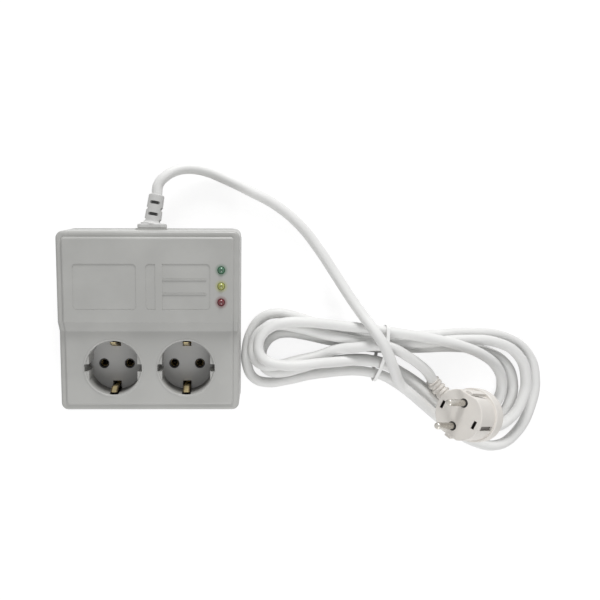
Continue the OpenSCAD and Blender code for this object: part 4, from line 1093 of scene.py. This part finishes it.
class LEAD_OT_plug_body(bpy.types.Operator):
    """Models the plug's body: a keyed front, a round cap and the neck of the cord's boot"""
    bl_idname = "lead.plug_body"
    bl_label = "Plug body"

    def execute(self, context):
        body = self.front()
        unite(body, self.cap())
        unite(body, self.neck())
        for x in (-PIN_X, PIN_X):
            cut(body, add_drum("ring", (x, 0), RING_R, RING_Z, 2 * MM, 48))
        half_w, half_l = FACE_SLOT_HALF
        for side in (-1, 1):
            middle = side * FACE_SLOT_Y
            cut(body, add_bar("slot", half_w, (middle - half_l, middle + half_l), (-3 * MM, 2 * MM)))
            cut(body, add_bar("groove", GROOVE_HALF_W, [side * y for y in GROOVE_Y], GROOVE_Z))
        ease_edges(body, 0.22 * MM, 48)
        place(body, PLUG_MATRIX)
        settle(body, "plug_case", PALETTE["plug"], replaces=("plug_body",), slot="plug")
        return {"FINISHED"}

    def front(self):
        front = add_drum("front", (0, 0), PLUG_FRONT_R, PLUG_WAIST_Z, 0, 112)
        edit(front)
        for side in (-1, 1):
            split((side * PLUG_FLAT_X, 0, 0), (side, 0, 0), clear_outer=True, use_fill=True)
        leave()
        half_w, half_l = PLUG_KEY
        unite(front, add_bar("keys", half_w, (-half_l, half_l), (PLUG_WAIST_Z, -0.8 * MM)))

        def at_face(edge):
            return is_sharp(edge, 60) and min(v.co.z for v in edge.verts) > -0.1 * MM

        round_edges(front, at_face, 0.8 * MM, 4)
        return front

    def cap(self):
        back = quarter((CAP_R - CAP_ROUND, CAP_BACK_Z + CAP_ROUND), (CAP_ROUND, -CAP_ROUND))
        outline = [(0, CAP_TOP_Z), (CAP_R - 0.5 * MM, CAP_TOP_Z), (CAP_R, CAP_TOP_Z - 0.5 * MM)] \
            + back + [(0, CAP_BACK_Z)]
        return lathe("cap", outline, (0, 0), 112, False)

    def neck(self):
        half_w, half_h = PLUG_NECK_HALF
        neck = add_bar("neck", half_w, (PLUG_NECK_Y, -MM), (PLUG_CORD_Z - half_h, PLUG_CORD_Z + half_h))
        round_edges(neck, along_y, 3 * MM, 6)

        def at_end(edge):
            return is_sharp(edge, 60) and edge.verts[0].co.y < PLUG_NECK_Y + 0.5 * MM

        round_edges(neck, at_end, 0.9 * MM, 3)
        collar = add_drum("collar", (0, 0), COLLAR_R, 0, -RIB_ROOT_Y, 48)
        place(collar, Matrix.Translation((0, 0, PLUG_CORD_Z)) @ Matrix.Rotation(math.radians(90), 4, "X"))
        unite(neck, collar)
        return neck


class LEAD_OT_plug_boot(bpy.types.Operator):
    """Models the plug's ribbed boot, bent towards the cord"""
    bl_idname = "lead.plug_boot"
    bl_label = "Plug boot"

    def execute(self, context):
        line = rib_points()
        points = []
        radii = []
        for k in range(RIB_STEPS * 6 + 1):
            at = k / 6
            first = min(int(at), RIB_STEPS - 1)
            points.append(line[first].lerp(line[first + 1], at - first))
            groove = max(0.0, (at % 2) - RIB_FLAT) / (2 - RIB_FLAT)
            wave = 0.5 - 0.5 * math.cos(math.tau * min(1.0, groove))
            radii.append(blend_values(*RIB_RADII, at / RIB_STEPS) - RIB_DEPTH * wave ** 0.6)
        pick(add_curve("ribs", points, MM, radii, 1, 9))
        bpy.ops.object.convert(target="MESH")
        boot = bpy.context.object
        place(boot, PLUG_MATRIX)
        settle(boot, "plug_ribs", PALETTE["plug"], replaces=("plug_boot",), angle=50, slot="plug")
        return {"FINISHED"}


class LEAD_OT_plug_contacts(bpy.types.Operator):
    """Models the plug's two round pins, dark rings of painted shade in the recesses round them, and the two
    earth strips
    """
    bl_idname = "lead.plug_contacts"
    bl_label = "Plug contacts"

    def execute(self, context):
        nose = quarter((PIN_R - PIN_NOSE[0], PIN_L - PIN_NOSE[1]), PIN_NOSE)
        outline = [(0, RING_Z), (PIN_R, RING_Z)] + nose + [(0, PIN_L)]
        # Painted shade: a black ring that fills the recess round each pin
        collar = [(radius * MM, z * MM) for radius, z in PIN_SHADE_RING]
        pins = []
        shade_rings = []
        for x in (-PIN_X, PIN_X):
            pins.append(lathe("pin", outline, (x, 0), 48, False))
            shade_rings.append(lathe("collar", collar, (x, 0), 48))
        self.fit(pins, "contact_pins", "pin", replaces=("plug_pins",), slot="pin_nickel")
        self.fit(shade_rings, "pin_collars", "shadow")
        strips = []
        for side in (-1, 1):
            strip = add_bar("strip", STRIP_HALF_W, [side * y for y in STRIP_Y], STRIP_Z)
            soften(strip, 0.2 * MM, 2)
            strips.append(strip)
        self.fit(strips, "earth_strips", "strip", replaces=("plug_earth_contacts",), slot="pin_nickel")
        return {"FINISHED"}

    def fit(self, parts, name, finish, **facts):
        piece = merge(parts, name)
        place(piece, PLUG_MATRIX)
        settle(piece, name, PALETTE[finish], **facts)


class LEAD_OT_declare_cord(bpy.types.Operator):
    bl_idname = "lead.declare_cord"
    bl_label = "Cord facts"

    def execute(self, context):
        points = cord_points()
        return {"FINISHED"}


# Finishes

PALETTE = {}
PLASTICS = {
    "relay_case": ((0.03, 0.08, 0.24), 0.25), "coil_tape": ((0.50, 0.38, 0.08), 0.4),
    "capacitor_sleeve": ((0.012, 0.012, 0.018), 0.25), "film_case": ((0.46, 0.24, 0.03), 0.25),
    "varistor_coat": ((0.02, 0.08, 0.3), 0.35), "chip_case": (BLACK_PLASTIC, 0.5),
    "resistor_coat": ((0.45, 0.27, 0.12), 0.4), "terminal_case": ((0.03, 0.2, 0.07), 0.4),
    "wire_brown": ((0.12, 0.04, 0.015), 0.35), "wire_blue": ((0.02, 0.09, 0.35), 0.35),
    "wire_green_yellow": ((0.25, 0.36, 0.02), 0.35), "clamp": ((0.6, 0.6, 0.58), 0.45),
    "board": ((0.02, 0.14, 0.05), 0.35),
}
METALS = {
    "screw_steel": ((0.55, 0.56, 0.58), 0.32), "contact_brass": ((0.55, 0.42, 0.18), 0.3),
    "core_steel": ((0.16, 0.16, 0.17), 0.45),
}


class LEAD_OT_finishes(bpy.types.Operator):
    """Mixes the finishes, and gives the carried-over solids theirs"""
    bl_idname = "lead.finishes"
    bl_label = "Finishes"

    def execute(self, context):
        case = context.scene.lead_case
        cord = context.scene.lead_cord
        plug = context.scene.lead_plug
        PALETTE.update(
            housing=self.housing(case),
            well=self.well(case),
            carrier=moulded_plastic("Socket floor plastic", case.floor_plastic, 0.5, marks=0.6),
            # Black plastic for the pieces that stand for shade in holes and recesses
            shadow=moulded_plastic("Dark bushing plastic", BLACK_PLASTIC, 0.5, marks=0.1),
            cord=moulded_plastic("Cord sheath", cord.sheath, 0.5, 1700.0, 0.2, 0.4, 0.03),
            boot=self.boot_rubber(cord),
            tie=moulded_plastic("Tie strap", cord.strap, 0.35, 1500.0, 0.15, 0.2),
            plug=self.plug_plastic(plug),
            # Painted shade: the earth strips' nickel is darkened to stand for their shaded groove
            strip=plated_metal("Dull nickel", (0.16, 0.15, 0.14), 0.5, (0.1, 0.09, 0.08), 0.5),
            pin=plated_metal("Nickel plate", plug.pin, 0.26, (0.42, 0.39, 0.34), 0.35))
        for name, y in LAMPS.items():
            PALETTE["lamp_" + name] = lamp_plastic("Lamp " + name, getattr(case, name + "_lamp"), y)
        self.dress_solids()
        return {"FINISHED"}

    def housing(self, case):
        """The case's plastic, with a thin soft painted glow of each lamp's colour round its lens."""
        material = moulded_plastic("Case plastic", case.plastic, 0.38)
        for name, y in LAMPS.items():
            # Painted light: each lamp's colour laid on the case round its lens
            def painted_glow(tree, where, spot=(LAMP_X, y, TOP_Z)):
                gap = vector_node(tree, "DISTANCE", where, spot, "Value")
                return range_node(tree, gap, 2.6 * MM, 5.2 * MM, 0.55, 0.0)
            lay_colour(material, painted_glow, getattr(case, name + "_lamp"))
        return material

    def well(self, case):
        """The wells' plastic, with painted shade low on the wall that faces the cord end."""
        # Painted shade: darker deep in the recess, on the wall that faces the cord end
        def low_wall(tree, where):
            at = add_node(tree, "SeparateXYZ", {0: where}).outputs
            deep = range_node(tree, at["Z"], LOW_Z - 12 * MM, LOW_Z - 1.2 * MM, 1.0, 0.0)
            front = range_node(tree, at["Y"], SOCKET_Y - 15 * MM, SOCKET_Y - 7 * MM, 0.9, 0.12)
            return both(tree, deep, front)
        return lay_colour(moulded_plastic("Well plastic", case.plastic, 0.36), low_wall, WELL_SHADE)

    def brass(self):
        """Clip brass, tarnished beside the track that plugs rub bright."""
        def beside_track(tree, where):
            x = add_node(tree, "SeparateXYZ", {0: where}).outputs["X"]
            off = math_node(tree, "SUBTRACT", math_node(tree, "ABSOLUTE", x), SOCKET_X)
            return range_node(tree, math_node(tree, "ABSOLUTE", off), 1.3 * MM, 1.9 * MM, 0.0, 0.85)
        return lay_colour(plated_metal("Clip brass", (0.80, 0.68, 0.40), 0.35), beside_track, BRASS_TARNISH)

    def boot_rubber(self, cord):
        """The boot's rubber, with painted shade deep in its slots, close to the cord's line."""
        # Painted shade: darker deep in the slots, close to the cord's line
        def in_slots(tree, where):
            reach, along = axis_places(tree, where, BOOT_ROOT, boot_direction())
            deep = range_node(tree, reach, 4.6 * MM, 5.5 * MM, 0.92, 0.0)
            inside = range_node(tree, along, BOOT_L - 1.6 * MM, BOOT_L - 1.2 * MM, 1.0, 0.0)
            return both(tree, deep, inside)
        rubber = moulded_plastic("Boot rubber", cord.boot, 0.6, 2000.0, 0.35, 0.4)
        return lay_colour(rubber, in_slots, SLOT_SHADE)

    def plug_plastic(self, plug):
        """The plug's plastic, with painted shade inside the slots and rings of its front."""
        # Painted shade: darker inside the slots and rings, below the plug's face
        def in_openings(tree, where):
            reach, along = axis_places(tree, where, PLUG_PLACE, PLUG_TURN.to_matrix() @ Vector((0, 0, 1)))
            inner = range_node(tree, reach, 15.2 * MM, 15.8 * MM, 1.0, 0.0)
            below = range_node(tree, along, -0.7 * MM, -0.35 * MM, 1.0, 0.0)
            above = range_node(tree, along, -8 * MM, -6 * MM, 0.0, 1.0)
            return both(tree, both(tree, inner, below), above)
        plastic = moulded_plastic("Plug plastic", plug.plastic, 0.45, 2000.0, 0.25, 0.4)
        return lay_colour(plastic, in_openings, PLUG_OPENING_SHADE)

    def dress_solids(self):
        """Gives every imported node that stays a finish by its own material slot."""
        finishes = {**PALETTE, "pin_nickel": PALETTE["pin"]}
        for table, finish in ((PLASTICS, moulded_plastic), (METALS, plated_metal)):
            for slot, (colour, rough) in table.items():
                finishes[slot] = finish(slot.replace("_", " ").capitalize(), colour, rough)
        clip = self.brass()
        for part in frame["record"]["subparts"]:
            materials = frame["nodes"][part["node"]].data.materials
            materials.clear()
            is_clip = part["node"].startswith("earth_clip")
            materials.append(clip if is_clip else finishes[part["material_slot"]])


# Stage

class LEAD_OT_stage(bpy.types.Operator):
    """Sets the white floor, the soft lamps and the camera"""
    bl_idname = "lead.stage"
    bl_label = "Stage"

    def execute(self, context):
        stage = context.scene.lead_stage
        self.floor()
        self.world(stage.sky)
        self.lamp("Key lamp", (0.2, 1.15, 0.4), (0.08, 0.0, 0.0), 0.4, stage.key)
        self.lamp("Fill lamp", (0.1, -0.6, 0.6), (0.08, -0.05, 0.0), 0.5, stage.fill)
        self.camera(stage.lens)
        context.scene.view_settings.view_transform = "Standard"
        return {"FINISHED"}

    def floor(self):
        """A pale table to the light, and near white to the eye, with soft shadows."""
        deselect_all()
        bpy.ops.mesh.primitive_plane_add(size=8, location=(0, 0, 0))
        plane = named("floor")
        material = bpy.data.materials.new("White floor")
        material.use_nodes = True
        tree = material.node_tree
        tree.nodes.clear()
        table = add_node(tree, "BsdfDiffuse", {"Color": (0.8, 0.8, 0.8, 1)})
        veil = add_node(tree, "BsdfDiffuse", {"Color": (0.25, 0.25, 0.25, 1)})
        white = add_node(tree, "Emission", {"Color": (1, 1, 1, 1), "Strength": 0.84})
        bright = add_node(tree, "AddShader", {0: veil.outputs[0], 1: white.outputs[0]})
        sides = {0: seen_directly(tree), 1: table.outputs[0], 2: bright.outputs[0]}
        choose = add_node(tree, "MixShader", sides)
        add_node(tree, "OutputMaterial", {"Surface": choose.outputs[0]})
        plane.data.materials.append(material)

    def world(self, strength):
        """Even light of some strength, behind a plain white backdrop."""
        world = bpy.context.scene.world or bpy.data.worlds.new("Studio")
        bpy.context.scene.world = world
        world.use_nodes = True
        tree = world.node_tree
        tree.nodes.clear()
        level = range_node(tree, seen_directly(tree), 0, 1, strength, 1.0, False)
        back = add_node(tree, "Background", {"Color": (1, 1, 1, 1), "Strength": level})
        add_node(tree, "OutputWorld", {"Surface": back.outputs[0]})

    def lamp(self, name, place, target, size, power):
        deselect_all()
        bpy.ops.object.light_add(type="AREA", location=place)
        lamp = bpy.context.object
        lamp.name = name
        lamp.data.shape = "DISK"
        lamp.data.size = size
        lamp.data.energy = power
        lamp.rotation_euler = (Vector(target) - Vector(place)).to_track_quat("-Z", "Y").to_euler()

    def camera(self, lens):
        deselect_all()
        bpy.ops.object.camera_add(location=CAMERA_PLACE, rotation=[math.radians(a) for a in CAMERA_TURN])
        camera = bpy.context.object
        camera.name = "Photo camera"
        camera.data.sensor_width = 36
        camera.data.lens = lens
        camera.data.shift_x, camera.data.shift_y = CAMERA_SHIFT
        camera.data.clip_start = 0.01
        bpy.context.scene.camera = camera


GROUPS = {"lead_case": CaseSettings, "lead_cord": CordSettings, "lead_plug": PlugSettings,
          "lead_stage": StageSettings}
OPERATORS = (LEAD_OT_finishes, LEAD_OT_cord, LEAD_OT_front_housing, LEAD_OT_socket_wells,
             LEAD_OT_socket_floors, LEAD_OT_lamps, LEAD_OT_cable_boot, LEAD_OT_tie, LEAD_OT_plug_body,
             LEAD_OT_plug_boot, LEAD_OT_plug_contacts, LEAD_OT_declare_cord, LEAD_OT_stage)


class LEAD_PT_panel(bpy.types.Panel):
    """Lists the pieces and the values that shape them"""
    bl_idname = "LEAD_PT_panel"
    bl_label = "Voltage protector lead"
    bl_space_type = "VIEW_3D"
    bl_region_type = "UI"
    bl_category = "Lead"

    def draw(self, context):
        for group in GROUPS:
            box = self.layout.box()
            box.label(text=group.replace("lead_", "").capitalize())
            values = getattr(context.scene, group)
            for key in values.__annotations__:
                box.prop(values, key)
        for operator in OPERATORS:
            self.layout.operator(operator.bl_idname)


def register():
    for name, group in GROUPS.items():
        bpy.utils.register_class(group)
        setattr(bpy.types.Scene, name, bpy.props.PointerProperty(type=group))
    for cls in (*OPERATORS, LEAD_PT_panel):
        bpy.utils.register_class(cls)


def unregister():
    for cls in (LEAD_PT_panel, *reversed(OPERATORS)):
        bpy.utils.unregister_class(cls)
    for name, group in reversed(GROUPS.items()):
        delattr(bpy.types.Scene, name)
        bpy.utils.unregister_class(group)


def main():
    register()
    bpy.ops.lead.finishes()
    bpy.ops.lead.cord()
    bpy.ops.lead.front_housing()
    bpy.ops.lead.socket_wells()
    bpy.ops.lead.socket_floors()
    bpy.ops.lead.lamps()
    bpy.ops.lead.cable_boot()
    bpy.ops.lead.tie()
    bpy.ops.lead.plug_body()
    bpy.ops.lead.plug_boot()
    bpy.ops.lead.plug_contacts()
    bpy.ops.lead.declare_cord()
    bpy.ops.lead.stage()


if __name__ == "__main__":
    main()
